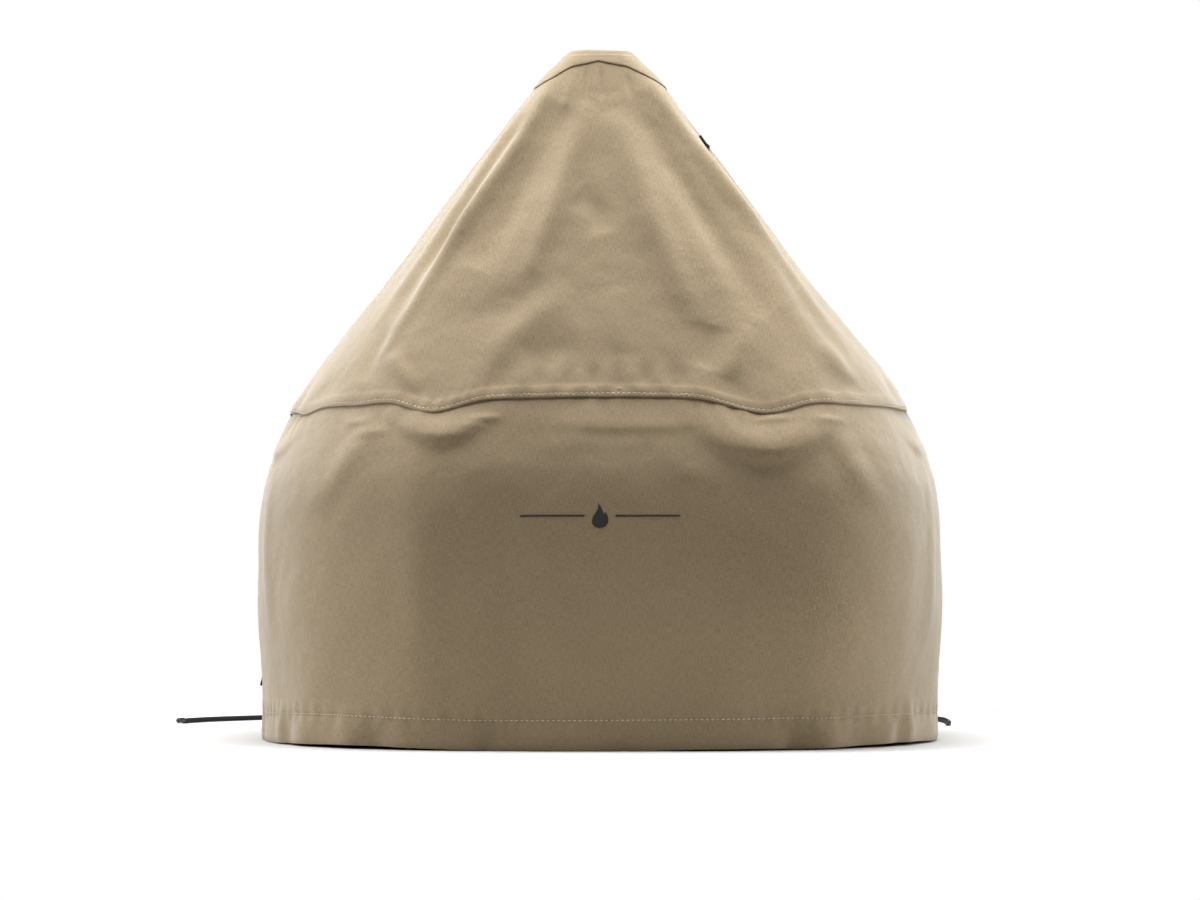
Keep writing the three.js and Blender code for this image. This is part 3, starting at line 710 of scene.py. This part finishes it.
def hem_lift(angle):
    """How far the hem hangs clear of the floor; the cloth draws it up at the front corners."""
    corners = 0.0036 * bump(angle, 5.72, 0.24) + 0.0022 * bump(angle, 3.82, 0.24)
    return corners + 0.0004 * (1 + np.cos(angle * 8 + 1.0)) * facing("front", angle)


def stand_off(angle, z, layer):
    """Points a given distance outside the folded form, and the smooth form's outward direction."""
    step = 0.004
    rise = 0.001

    def bare(turn, level):
        x, y = form_point(turn, level)
        return np.stack([x, y, level], axis=-1)

    around = bare(angle + step, z) - bare(angle - step, z)
    up = bare(angle, z + rise) - bare(angle, np.maximum(z - rise, 0))
    out = np.cross(around, up)
    out /= np.linalg.norm(out, axis=-1, keepdims=True)
    points = bare(angle, z)
    points = points + out * (fold_field(angle, z) + ripple(points) + layer)[..., None]
    points[..., 2] += hem_lift(angle) * (1 - smooth_step(0.0, 0.09, z))
    return points, out


# ---- Cloth panels -------------------------------------------------------------------

def cloth_sheet(name, columns, rows, place, materials, thickness=0.0006):
    """A sheet from a plain grid, placed by a function of its two shares, with a map in metres."""
    bm = bmesh.new()
    bmesh.ops.create_grid(bm, x_segments=columns, y_segments=rows, size=0.5)
    bm.verts.ensure_lookup_table()
    bm.verts.index_update()
    shares = np.array([v.co[:2] for v in bm.verts]) + 0.5
    points, flat = place(shares[:, 0], shares[:, 1])
    uv_layer = bm.loops.layers.uv.new("UVMap")
    for vert, point in zip(bm.verts, points):
        vert.co = point
    for face in bm.faces:
        for loop in face.loops:
            loop[uv_layer].uv = flat[loop.vert.index]
    piece = finish_mesh(name, bm, materials[0])
    wall = piece.modifiers.new("wall", "SOLIDIFY")
    wall.thickness = thickness
    wall.offset = -1
    if len(materials) > 1:
        piece.data.materials.append(materials[1])
        wall.material_offset = 1
    return piece


SEAM_LAP = 0.034


SEAM_RISE = 0.0012


def side_lap(angle, front):
    """The front panels lie over the rear ones at the two side seams."""
    if not front:
        return np.zeros(np.shape(angle))
    edge = np.minimum(np.abs(angle - math.pi), np.abs(angle - TAU))
    inside = np.where((angle < math.pi) | (angle > TAU), -edge, edge)
    return SEAM_RISE * smooth_step(0.02, -0.008, inside)


def panel_turns(front):
    """Where a panel starts and ends round the cover; the front ones reach past the seams."""
    return (math.pi - SEAM_LAP, TAU + SEAM_LAP) if front else (0.0, math.pi)


def skirt_panel(side):
    front = side == "front"
    start, end = panel_turns(front)
    width, height = 1.17, LAP_TOP
    hem = [(0.010, -0.0014), (0.006, -0.0013), (0.003, -0.0012), (0.001, -0.0010), (0.0002, -0.0006),
           (0.0, -0.0002), (0.0004, 0.0), (0.002, 0.0003), (0.005, 0.0006)]
    rows = np.array(hem)
    levels = np.concatenate([rows[:, 0], np.linspace(0.008, 0.05, 16), np.linspace(0.0535, 0.27, 62)[1:],
                             np.linspace(0.2725, height, 40)])
    layers = np.concatenate([rows[:, 1], np.zeros(len(levels) - len(rows))])
    index = np.arange(len(levels)) / (len(levels) - 1)
    travel = np.concatenate([[0], np.cumsum(np.hypot(np.diff(levels), np.diff(layers)))])

    def place(s, t):
        angle = start + (end - start) * s
        z = np.interp(t, index, levels)
        layer = np.interp(t, index, layers)
        outer = t > index[len(rows) - 2]
        tunnel = 0.0007 * bump(z, 0.014, 0.010) - 0.0007 * bump(z, HEM - 0.001, 0.0028)
        gather = 0.0006 * np.cos(angle * 130 + 3 * np.sin(angle * 7)) * bump(z, HEM, 0.010)
        gathers = np.cos(angle * 61 + 9 * np.sin(angle * 5)) * (0.5 + 0.5 * np.sin(angle * 11 + 1))
        near_waist = smooth_step(WAIST - 0.04, WAIST - 0.018, z) * smooth_step(WAIST + 0.004, WAIST - 0.01, z)
        pucker = 0.0005 * gathers * near_waist
        extra = np.where(outer, tunnel + gather + pucker, 0)
        under = 0.0004 * smooth_step(WAIST - 0.016, WAIST - 0.002, z)
        points, _ = stand_off(angle, z, layer + extra + side_lap(angle, front) - under)
        lift = 0.0018 * np.maximum(0, np.cos(angle * 6 + 0.8)) * np.maximum(0, 1 - z / 0.02)
        points[:, 2] += lift
        return points, pairs(s * width, np.interp(t, index, travel))

    piece = cloth_sheet(f"skirt_{side}", 330, len(levels) - 1, place, [SHELL, LINING])
    stands_for(piece, "shell_fabric", f"skirt_{side}_panel")
    return piece


def upper_panel(side):
    front = side == "front"
    start, end = panel_turns(front)
    width, height, top = 1.05, 0.46, 0.7205
    turned = [(0.0125, 0.0003), (0.009, 0.0003), (0.005, 0.0002), (0.002, 0.0001), (0.0006, 0.0002),
              (0.0, 0.0006), (0.0004, 0.0011), (0.0014, 0.0015), (0.0028, 0.0016), (0.0040, 0.0013),
              (0.0048, 0.0013), (0.0060, 0.0016), (0.008, 0.0018), (0.0110, 0.0019), (0.0138, 0.0019),
              (0.0154, 0.0016), (0.0172, 0.0014), (0.0195, 0.0013)]
    rows = np.array(turned)
    count = 118
    total = len(rows) + count
    travel = np.concatenate([[0], np.cumsum(np.hypot(np.diff(rows[:, 0]), np.diff(rows[:, 1])))])

    def place(s, t):
        angle = start + (end - start) * s
        low = waist_edge(angle)
        k = t * (total - 1)
        turned_in = k <= len(rows) - 1
        above = np.interp(k, np.arange(len(rows)), rows[:, 0])
        layer = np.interp(k, np.arange(len(rows)), rows[:, 1])
        share = np.clip((k - (len(rows) - 1)) / count, 0, 1)
        grade = 0.8
        z = np.where(turned_in, low + above * grade, 0)
        z = np.where(turned_in, z, low + 0.0195 * grade + (top - low - 0.0195 * grade) * share ** 1.05)
        height_above = (z - low) / grade
        gathers = np.cos(angle * 83 + 11 * np.sin(angle * 6)) * (0.5 + 0.5 * np.sin(angle * 9 + 2))
        pucker = 0.0006 * gathers * bump(height_above, 0.012, 0.009)
        drawn = 0.0011 * np.cos(angle * 37 + 6 * np.sin(angle * 4)) * bump(height_above, 0.024, 0.018)
        outer = k > 5
        points, _ = stand_off(angle, z, layer + np.where(outer, pucker + drawn, 0) + side_lap(angle, front))
        run = np.where(turned_in, np.interp(k, np.arange(len(rows)), travel), travel[-1] + share * 0.42)
        return points, pairs((s - 0.5) * width * (1 - 0.8 * share), run)

    piece = cloth_sheet(f"upper_{side}", 310, total - 1, place, [SHELL, LINING])
    stands_for(piece, "shell_fabric", f"upper_{side}_panel")
    return piece


# The crown cap's edge: place across the front (-1 left, 1 right) and level.
CAP_EDGE_ACROSS = [-1, -0.88, -0.74, -0.59, -0.52, -0.04, 0.51, 0.74, 0.86, 0.94, 1]
CAP_EDGE_LEVEL = [0.6940, 0.6930, 0.6998, 0.7098, 0.7130, 0.7192, 0.7130, 0.7025, 0.6950, 0.6922, 0.6918]


def crown_cap():
    """A small cap with a turned edge over the top of the upper panels."""
    turned = [(0.007, 0.0015), (0.004, 0.0014), (0.0015, 0.0013), (0.0003, 0.0014), (0.0, 0.0018),
              (0.0005, 0.0023), (0.0018, 0.0025), (0.004, 0.0024)]
    rows = np.array(turned)
    wall, dome = 8, 26
    total = len(rows) + wall + dome
    rim = 0.7262

    def place(s, t):
        angle = TAU * s
        x, _ = form_point(angle, np.full(np.shape(angle), 0.70))
        across = np.clip(x / 0.069, -1, 1)
        front_low = np.interp(across, CAP_EDGE_ACROSS, CAP_EDGE_LEVEL)
        rear_low = 0.690 + 0.016 * (1 - across ** 2)
        low = rear_low + (front_low - rear_low) * smooth_step(0.15, -0.15, np.sin(angle))
        k = t * (total - 1)
        above = np.interp(k, np.arange(len(rows)), rows[:, 0])
        layer = np.interp(k, np.arange(len(rows)), rows[:, 1])
        share = np.clip((k - (len(rows) - 1)) / wall, 0, 1)
        start = low + rows[-1, 0]
        z = np.where(k <= len(rows) - 1, low + above, start + (rim - start) * share)
        points, _ = stand_off(angle, z, layer)
        inward = np.clip((k - (len(rows) - 1) - wall) / dome, 0, 1)
        shares = [0, 0.2, 0.26, 0.32, 1]
        reach = np.interp(inward, shares, [1, 0.875, 0.83, 0.78, 0])
        centre = np.array([0.002, CROWN_CENTRE, 0])
        flat = points.copy()
        flat[:, :2] = centre[:2] + (points[:, :2] - centre[:2]) * reach[:, None]
        flat[:, 2] = rim + (TOP - 0.0007 - rim) * np.interp(inward, shares, [0, 0.8, 0.93, 0.98, 1])
        flat[:, 2] -= 0.0005 * (1 + np.sin(flat[:, 0] * 90)) * np.minimum(inward * 3, 1) * reach
        points = np.where((inward > 0)[:, None], flat, points)
        return points, pairs(s * 0.36, k * 0.003)

    piece = cloth_sheet("cap", 160, total - 1, place, [SHELL, LINING])
    close_ring(piece)
    stands_for(piece, "shell_fabric", "crown_cap")
    return piece


def close_ring(piece):
    """Joins the two ends of a sheet that goes right round."""
    bm = bmesh.new()
    bm.from_mesh(piece.data)
    bmesh.ops.remove_doubles(bm, verts=bm.verts, dist=5e-6)
    bm.to_mesh(piece.data)
    bm.free()


MEAN_REACH = 0.34


def tape(name, start, end, low, high, layer, node, material=None, slot="seam_tape"):
    """A flat tape on the inside of the cloth, between two turns and two levels."""
    reach = (end - start) * MEAN_REACH
    columns = max(6, int(reach / 0.006))
    rows = max(4, int((high - low) / 0.008))

    def place(s, t):
        angle = start + (end - start) * s
        z = low + (high - low) * t
        points, _ = stand_off(angle, z, np.full(np.shape(z), layer))
        return points, pairs(s * reach, t * (high - low))

    piece = cloth_sheet(name, columns, rows, place, [material or BINDING], 0.0007)
    stands_for(piece, slot, node)
    return piece


def hem_facing(side):
    """The inner wall of the drawcord tunnel."""
    start = math.pi + 0.004 if side == "front" else 0.004
    end = start + math.pi - 0.008
    width = 1.12

    def place(s, t):
        angle = start + (end - start) * s
        z = 0.0015 + (HEM - 0.002) * t
        depth = np.interp(z, [0.0, 0.004, 0.009, 0.013, 0.018, 0.024, 0.029, 0.032],
                          [0.0022, 0.0034, 0.0068, 0.0074, 0.0068, 0.0038, 0.0018, 0.0016])
        points, _ = stand_off(angle, z, -depth)
        return points, pairs(s * width, z)

    piece = cloth_sheet(f"facing_{side}", 220, 16, place, [LINING], 0.0006)
    stands_for(piece, "lining_fabric", f"hem_facing_{side}")


skirt_panel("front")
skirt_panel("rear")
upper_panel("front")
upper_panel("rear")
crown_cap()
for side, start in (("front", math.pi), ("rear", 0.0)):
    hem_facing(side)
    tape(f"waist_binding_{side}", start + 0.01, start + math.pi - 0.01, WAIST + 0.002, LAP_TOP - 0.004,
         -0.0032, f"waist_tape_{side}")
    tape(f"crown_binding_{side}", start + 0.02, start + math.pi - 0.02, 0.703, 0.713,
         -0.0012, f"crown_tape_{side}")
for hand, turn in (("left", math.pi), ("right", 0.0)):
    tape(f"skirt_binding_{hand}", turn - 0.0285, turn + 0.0285, HEM + 0.002, WAIST, -0.0022,
         f"skirt_seam_tape_{hand}")
    tape(f"upper_binding_{hand}", turn - 0.034, turn + 0.034, LAP_TOP + 0.001, 0.700, -0.0012,
         f"upper_seam_tape_{hand}")
tape("label", math.pi - 0.041, math.pi + 0.041, 0.052, 0.096, -0.0034, "care_label", LABEL, "label_cloth")


# ---- Topstitching -------------------------------------------------------------------

STITCH = 0.0053


def stitch_line(name, points, outward, material, spacing=STITCH, share=0.64, radius=0.00042):
    """A row of short raised stitches along a line of points."""
    dense = np.concatenate([points, outward], axis=1)
    lengths = np.concatenate([[0], np.cumsum(np.linalg.norm(np.diff(points, axis=0), axis=1))])
    places = np.arange(spacing / 2, lengths[-1], spacing)
    half = spacing * share / 2
    bm = bmesh.new()
    uv_layer = bm.loops.layers.uv.new("UVMap")
    for place in places:
        before, here, after = [
            np.array([np.interp(p, lengths, dense[:, axis]) for axis in range(6)])
            for p in (place - half, place, place + half)]
        ahead = Vector((after - before)[:3])
        stretch = ahead.length / 2
        ahead.normalize()
        out = Vector(here[3:])
        out = (out - ahead * out.dot(ahead)).normalized()
        turn = Matrix((ahead, out.cross(ahead), out)).transposed().to_4x4()
        size = Matrix.Diagonal((stretch, radius * 1.25, radius, 1))
        at = Matrix.Translation(Vector(here[:3])) @ turn @ size @ Matrix.Rotation(math.pi / 2, 4, "Y")
        bmesh.ops.create_uvsphere(bm, u_segments=6, v_segments=5, radius=1, matrix=at)
    for face in bm.faces:
        for loop in face.loops:
            loop[uv_layer].uv = (loop.vert.co.x, loop.vert.co.z)
    bmesh.ops.recalc_face_normals(bm, faces=bm.faces)
    piece = finish_mesh(name, bm, material)
    return piece


def around_at(level, layer, start, end, count=900):
    """A dense line round the cover at a level, which may change with the turn."""
    angle = np.linspace(start, end, count)
    z = level(angle)
    return stand_off(angle, z, np.full(count, layer))


def hem_level(angle):
    return HEM - 0.001 + 0.0008 * np.sin(angle * 5 + 1)


def waist_level(angle):
    return waist_edge(angle) + 0.0043 * 0.8


for side, start in (("front", math.pi), ("rear", 0.0)):
    for seam, level, layer in (("hem", hem_level, 0.00005), ("waist", waist_level, 0.00205)):
        stitch_line(f"{seam}_stitching_{side}", *around_at(level, layer, start, start + math.pi), THREAD_PALE)


def seam_stitching(name, turn, lap, layer, low, high):
    """A row of stitches up a side seam."""
    z = np.linspace(low, high, 500)
    half = np.interp(z, [0, 0.353, 0.70], [0.36, 0.33, 0.07])
    angle = turn + lap / half
    return stitch_line(name, *stand_off(angle, z, np.full(500, layer)), THREAD_TAN, radius=0.0003)


for hand, turn, sign in (("left", math.pi, -1), ("right", TAU, 1)):
    for row, lap in (("inner", 0.001), ("outer", 0.0075)):
        seam_stitching(f"skirt_{hand}_{row}_stitching", turn, sign * lap, 0.0009, HEM + 0.004, 0.336)
        seam_stitching(f"upper_{hand}_{row}_stitching", turn, sign * lap * 0.8, 0.0019, 0.374, 0.684)


# ---- Fittings -----------------------------------------------------------------------

CORD_LEVEL = 0.013


def hem_drawcord():
    """The drawcord inside the hem, from one eyelet round the front to the other."""
    angle = np.linspace(math.pi / 2 + 0.075, math.pi / 2 + TAU - 0.075, 150)
    inner, _ = stand_off(angle, np.full(150, CORD_LEVEL), np.full(150, -0.0040))
    bend = [(0.009, 0.3452), (0.0093, 0.3436), (0.0115, 0.3412)]
    route = [Vector((-x, y, CORD_LEVEL)) for x, y in bend]
    route += [Vector(p) for p in inner]
    route += [Vector((x, y, CORD_LEVEL)) for x, y in reversed(bend)]
    piece = tube_along("hem_drawcord", route, CORD_DIAMETER, CORD, sides=10)
    stands_for(piece, "drawcord", "drawcord_run", "drawcord_exit_left", "drawcord_exit_right")


def eyelet(hand, x):
    """A pressed metal eyelet with a rolled rim, and the washer it is clenched over."""
    bore, rim = 0.0039, 0.0075
    profile = [(bore, -0.0032), (bore, -0.001)]
    for i in range(9):
        turn = math.radians(180 - 22.5 * i)
        profile.append((bore + 0.0018 + 0.0018 * math.cos(turn), 0.0002 + 0.0012 * math.sin(turn)))
    profile += [(rim - 0.0008, 0.0003), (rim, -0.0002), (rim, -0.0006), (bore + 0.001, -0.0006),
                (bore + 0.0009, -0.0032), (bore, -0.0032)]
    ring = spun(f"eyelet_rim_{hand}", profile, (0, 1, 0), (x, 0.3448, CORD_LEVEL), GUNMETAL, steps=40)
    stands_for(ring, "eyelet_metal", f"eyelet_{hand}")
    back = [(0.0051, 0), (0.0051, 0.0006), (0.0061, 0.0011), (0.0069, 0.0008), (rim, 0.0003), (rim, 0),
            (0.0051, 0)]
    washer = spun(f"eyelet_back_{hand}", back, (0, -1, 0), (x, 0.3424, CORD_LEVEL), GUNMETAL, steps=40)
    stands_for(washer, "eyelet_metal", f"eyelet_washer_{hand}")


LOCK_CENTRE = Vector((0, 0.398, 0))
COIL_RADIUS = 0.00475


def cord_lock():
    """A barrel cord lock: ribbed body, sprung button and the spring between them."""
    outer = [(0.0056, 0.0022), (0.0089, 0.0022), (0.0089, 0.0205)]
    outer += [(0.0093, 0.0209), (0.0099, 0.0210), (0.0105, 0.0206), (0.0107, 0.0200)]
    rib, groove = 0.0107, 0.01015
    for i in range(7):
        base = 0.0186 - i * 0.0021
        outer += [(rib, base + 0.0006), (groove, base + 0.0003)]
        outer += [(groove, base - 0.0005), (rib, base - 0.0008)]
    outer += [(rib, 0.0030), (0.0105, 0.0014), (0.0097, 0.0006), (0.0083, 0.0005), (0.0, 0.0005),
              (0.0, 0.0022), (0.0056, 0.0022)]
    barrel = spun("lock_barrel", outer, (0, 0, 1), LOCK_CENTRE, PLASTIC, "cord_lock", 48)
    stands_for(barrel, "moulded_plastic", "cord_lock_body")
    for hand, reach, heading in (("rear", 0.0106, 1), ("front", -0.0106, -1)):
        lip = lock_mouth(f"lock_mouth_{hand}", LOCK_CENTRE + Vector((0, reach, CORD_LEVEL)), heading)
    button = [(0, 0.0108), (0.0059, 0.0108), (0.0062, 0.0104), (0.0062, 0.0076), (0.0064, 0.0074),
              (0.0083, 0.0074), (0.0086, 0.0080), (0.0086, 0.0222), (0.0085, 0.0238), (0.0081, 0.0250),
              (0.0073, 0.0257), (0.0054, 0.0260), (0.0050, 0.0257), (0.0033, 0.0254), (0, 0.0253)]
    plunger = spun("lock_button", button, (0, 0, 1), LOCK_CENTRE, PLASTIC, "lock_plunger", 48)
    stands_for(plunger, "moulded_plastic", "cord_lock_plunger")
    turns, steps = 4.0, 96
    route = []
    for i in range(steps + 1):
        t = i / steps
        turn = TAU * turns * t
        round_it = Vector((COIL_RADIUS * math.cos(turn), COIL_RADIUS * math.sin(turn), 0.0028 + 0.0041 * t))
        route.append(LOCK_CENTRE + round_it)
    coil = tube_along("lock_coil", route, 0.0009, SPRING_WIRE, 8, "cord_lock")
    stands_for(coil, "spring_steel", "cord_lock_spring")


def lock_mouth(name, centre, heading):
    """The oval lip round the slot where the two cords go in."""
    bm = bmesh.new()
    bmesh.ops.create_circle(bm, cap_ends=False, segments=40, radius=1)
    first = bm.edges[:]
    for spread, out in ((0.0, 0.0012), (0.0006, 0.0017), (0.0013, 0.0012), (0.0014, -0.0016), (0.0, -0.0016)):
        grown = bmesh.ops.extrude_edge_only(bm, edges=first)["geom"]
        ring = [g for g in grown if isinstance(g, bmesh.types.BMVert)]
        first = [g for g in grown if isinstance(g, bmesh.types.BMEdge)]
        for vert in ring:
            turn = math.atan2(vert.co.y, vert.co.x)
            wide, tall = 0.0069 + spread, 0.0036 + spread
            vert.co = (wide * math.cos(turn), tall * math.sin(turn), out)
    loose = [v for v in bm.verts if abs(v.co.length - 1) < 1e-6]
    bmesh.ops.delete(bm, geom=loose, context="VERTS")
    open_edges = [e for e in bm.edges if e.is_boundary]
    bmesh.ops.bridge_loops(bm, edges=open_edges)
    bmesh.ops.recalc_face_normals(bm, faces=bm.faces)
    turn = Matrix.Rotation(-math.pi / 2 * heading, 4, "X")
    bmesh.ops.transform(bm, matrix=Matrix.Translation(centre) @ turn, verts=bm.verts)
    return finish_mesh(name, bm, PLASTIC, "cord_lock")


# Webbing tabs: name, hinge point, hinge direction, width, length, outward lean and how far inside
# the hinge the strip is sewn.
TABS = [
    ("left", (-0.363707, 0, 0.07295), (0, 1, 0), 0.020, 0.0165, 0.10, 0.0),
    ("right", (0.351104, 0.160624, 0.072947), (0.2368, -0.9716, 0), 0.020, 0.0165, 0.05, 0.0),
    ("crown", (0.111028, -0.055314, 0.644818), (0, -1, 0), 0.016, 0.0120, 0.70, 0.0018),
]


def pull_tab(name, hinge, axis, width, length, lean, inside):
    """A doubled strip of webbing, sewn in at its top edge, with a stitched box."""
    axis = Vector(axis).normalized()
    out = Vector((0, 0, 1)).cross(axis).normalized()
    down = (Vector((0, 0, -1)) + out * lean).normalized()
    away = axis.cross(down).normalized()
    away = away if away.dot(out) > 0 else -away
    root = Vector(hinge) - away * inside
    thick = 0.0009
    steps = 26

    def place(s, t):
        run = t * 2 * (length + 0.004)
        half = length + 0.004
        back = run > half
        along = np.where(back, 2 * half - run, run) - 0.004
        turn = np.clip((np.abs(run - half) / 0.0016), 0, 1)
        side = np.where(back, -1, 1) * thick * 0.62 * np.sqrt(np.clip(1 - (1 - turn) ** 2, 0, 1))
        flare = 0.0011 * smooth_step(0.5, 1, along / length)
        points = np.array(root)[None, :] + np.outer((s - 0.5) * width, axis)
        points = points + np.outer(along, down) + np.outer(side + flare, away)
        return points, pairs(s * width, run)

    piece = cloth_sheet(f"tab_{name}", 12, steps * 2, place, [WEBBING], thick)
    for modifier in piece.modifiers:
        modifier.offset = 0
    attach(piece, f"pull_tab_{name}")
    stands_for(piece, "webbing", f"pull_tab_{name}")
    box = []
    inset = 0.0024
    near, far = 0.36 * length, 0.75 * length
    corners = [(-1, near), (1, near), (1, far), (-1, far), (-1, near)]
    for (a0, t0), (a1, t1) in zip(corners, corners[1:]):
        for share in np.linspace(0, 1, 12):
            a = (a0 + (a1 - a0) * share) * (width / 2 - inset)
            t = t0 + (t1 - t0) * share
            box.append(root + axis * a + down * t + away * (thick * 1.12))
    line = np.array([p[:] for p in box])
    stitches = stitch_line(f"tab_{name}_stitching", line, np.tile(np.array(away[:]), (len(line), 1)),
                           THREAD_DARK, 0.0024, 0.72, 0.00026)
    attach(stitches, f"pull_tab_{name}")


hem_drawcord()
eyelet("left", -0.009)
eyelet("right", 0.009)
cord_lock()
for values in TABS:
    pull_tab(*values)


# ---- The printed mark ---------------------------------------------------------------

def mark_shape(bm, outline, level, corner):
    """A flat filled shape from a closed outline drawn round a point."""
    ring = bmesh.ops.create_circle(bm, cap_ends=True, segments=len(outline), radius=1)["verts"]
    for vert, (a, h) in zip(ring, outline):
        vert.co = (corner + a, 0, level + h)
    return ring


# The flame's outline in millimetres, from its foot anticlockwise.
FLAME = [(0, -12.5), (3, -12.1), (5.6, -10.6), (7.6, -8), (8.4, -4.8), (8.1, -1.6), (6.9, 1.4), (5, 4.2),
         (4.6, 2.4), (3.9, 0.9), (3.4, 3.4), (2.2, 6.4), (0.4, 9.6), (-2, 12.5), (-1.7, 9.4), (-2.3, 6.6),
         (-3.7, 4), (-5.6, 1.4), (-7.2, -1.4), (-8.1, -4.6), (-7.8, -7.8), (-6.1, -10.5), (-3.2, -12.1)]


def printed_mark():
    """A plain generic mark in charcoal ink: a small flame between two thin lines."""
    bm = bmesh.new()
    level = 0.235
    mark_shape(bm, [(a / 1000, h / 1000) for a, h in FLAME], level, 0.0)
    for hand in (-1, 1):
        bar = [(hand * 0.016, -0.0009), (hand * 0.0795, -0.0009), (hand * 0.0805, 0), (hand * 0.0795, 0.0009),
               (hand * 0.016, 0.0009), (hand * 0.015, 0)]
        mark_shape(bm, bar, level, 0.0)
    bmesh.ops.triangulate(bm, faces=bm.faces)
    bmesh.ops.subdivide_edges(bm, edges=bm.edges, cuts=5, use_grid_fill=True)
    bmesh.ops.triangulate(bm, faces=bm.faces)
    angle = np.linspace(math.pi * 1.25, math.pi * 1.75, 1200)
    uv_layer = bm.loops.layers.uv.new("UVMap")
    for face in bm.faces:
        for loop in face.loops:
            loop[uv_layer].uv = (loop.vert.co.x, loop.vert.co.z)
    for vert in bm.verts:
        line = mark_line(round(vert.co.z, 4), angle)
        vert.co = [np.interp(vert.co.x, line[:, 0], line[:, axis]) for axis in range(3)]
    bmesh.ops.recalc_face_normals(bm, faces=bm.faces)
    piece = finish_mesh("printed_mark", bm, INK)
    film = piece.modifiers.new("film", "SOLIDIFY")
    film.thickness = 0.00035
    film.offset = 1


MARK_LINES = {}


def mark_line(level, angle):
    """The skirt's surface at one level, from left to right."""
    if level not in MARK_LINES:
        MARK_LINES[level], _ = stand_off(angle, np.full(np.shape(angle), level), np.zeros(np.shape(angle)))
    return MARK_LINES[level]


printed_mark()


# ---- Floor and light ----------------------------------------------------------------

def set_stage():
    bm = bmesh.new()
    bmesh.ops.create_circle(bm, cap_ends=True, segments=96, radius=0.95)
    mesh = bpy.data.meshes.new("floor")
    bm.to_mesh(mesh)
    bm.free()
    floor = bpy.data.objects.new("floor", mesh)
    bpy.context.scene.collection.objects.link(floor)
    paper = Finish("white_paper", Roughness=0.9, Specular_IOR_Level=0.0)
    mesh.materials.append(paper.surface(Base_Color=colour(0.62, 0.62, 0.62)))


def area_light(name, place, aim, size, power):
    data = bpy.data.lights.new(name, "AREA")
    data.shape = "RECTANGLE"
    data.size, data.size_y = size
    data.energy = power
    light = bpy.data.objects.new(name, data)
    light.location = place
    light.rotation_euler = (Vector(aim) - Vector(place)).to_track_quat("-Z", "Y").to_euler()
    bpy.context.scene.collection.objects.link(light)


def set_light():
    world = bpy.data.worlds.new("studio")
    bpy.context.scene.world = world
    world.use_nodes = True
    nodes, links = world.node_tree.nodes, world.node_tree.links
    background = nodes["Background"]
    background.inputs["Color"].default_value = colour(1, 1, 1)
    seen = nodes.new("ShaderNodeLightPath")
    level = nodes.new("ShaderNodeMapRange")
    level.inputs["To Min"].default_value = 0.17
    level.inputs["To Max"].default_value = 1.0
    links.new(seen.outputs["Is Camera Ray"], level.inputs["Value"])
    links.new(level.outputs["Result"], background.inputs["Strength"])
    area_light("top_softbox", (0, 0.0, 2.8), (0, 0, 0.3), (2.2, 1.5), 152)
    area_light("left_softbox", (-2.8, 0.15, 1.3), (0, 0, 0.4), (1.4, 2.0), 64)
    area_light("right_softbox", (2.8, 0.15, 1.3), (0, 0, 0.4), (1.4, 2.0), 55)
    bpy.context.scene.view_settings.view_transform = "Standard"


set_stage()
set_light()
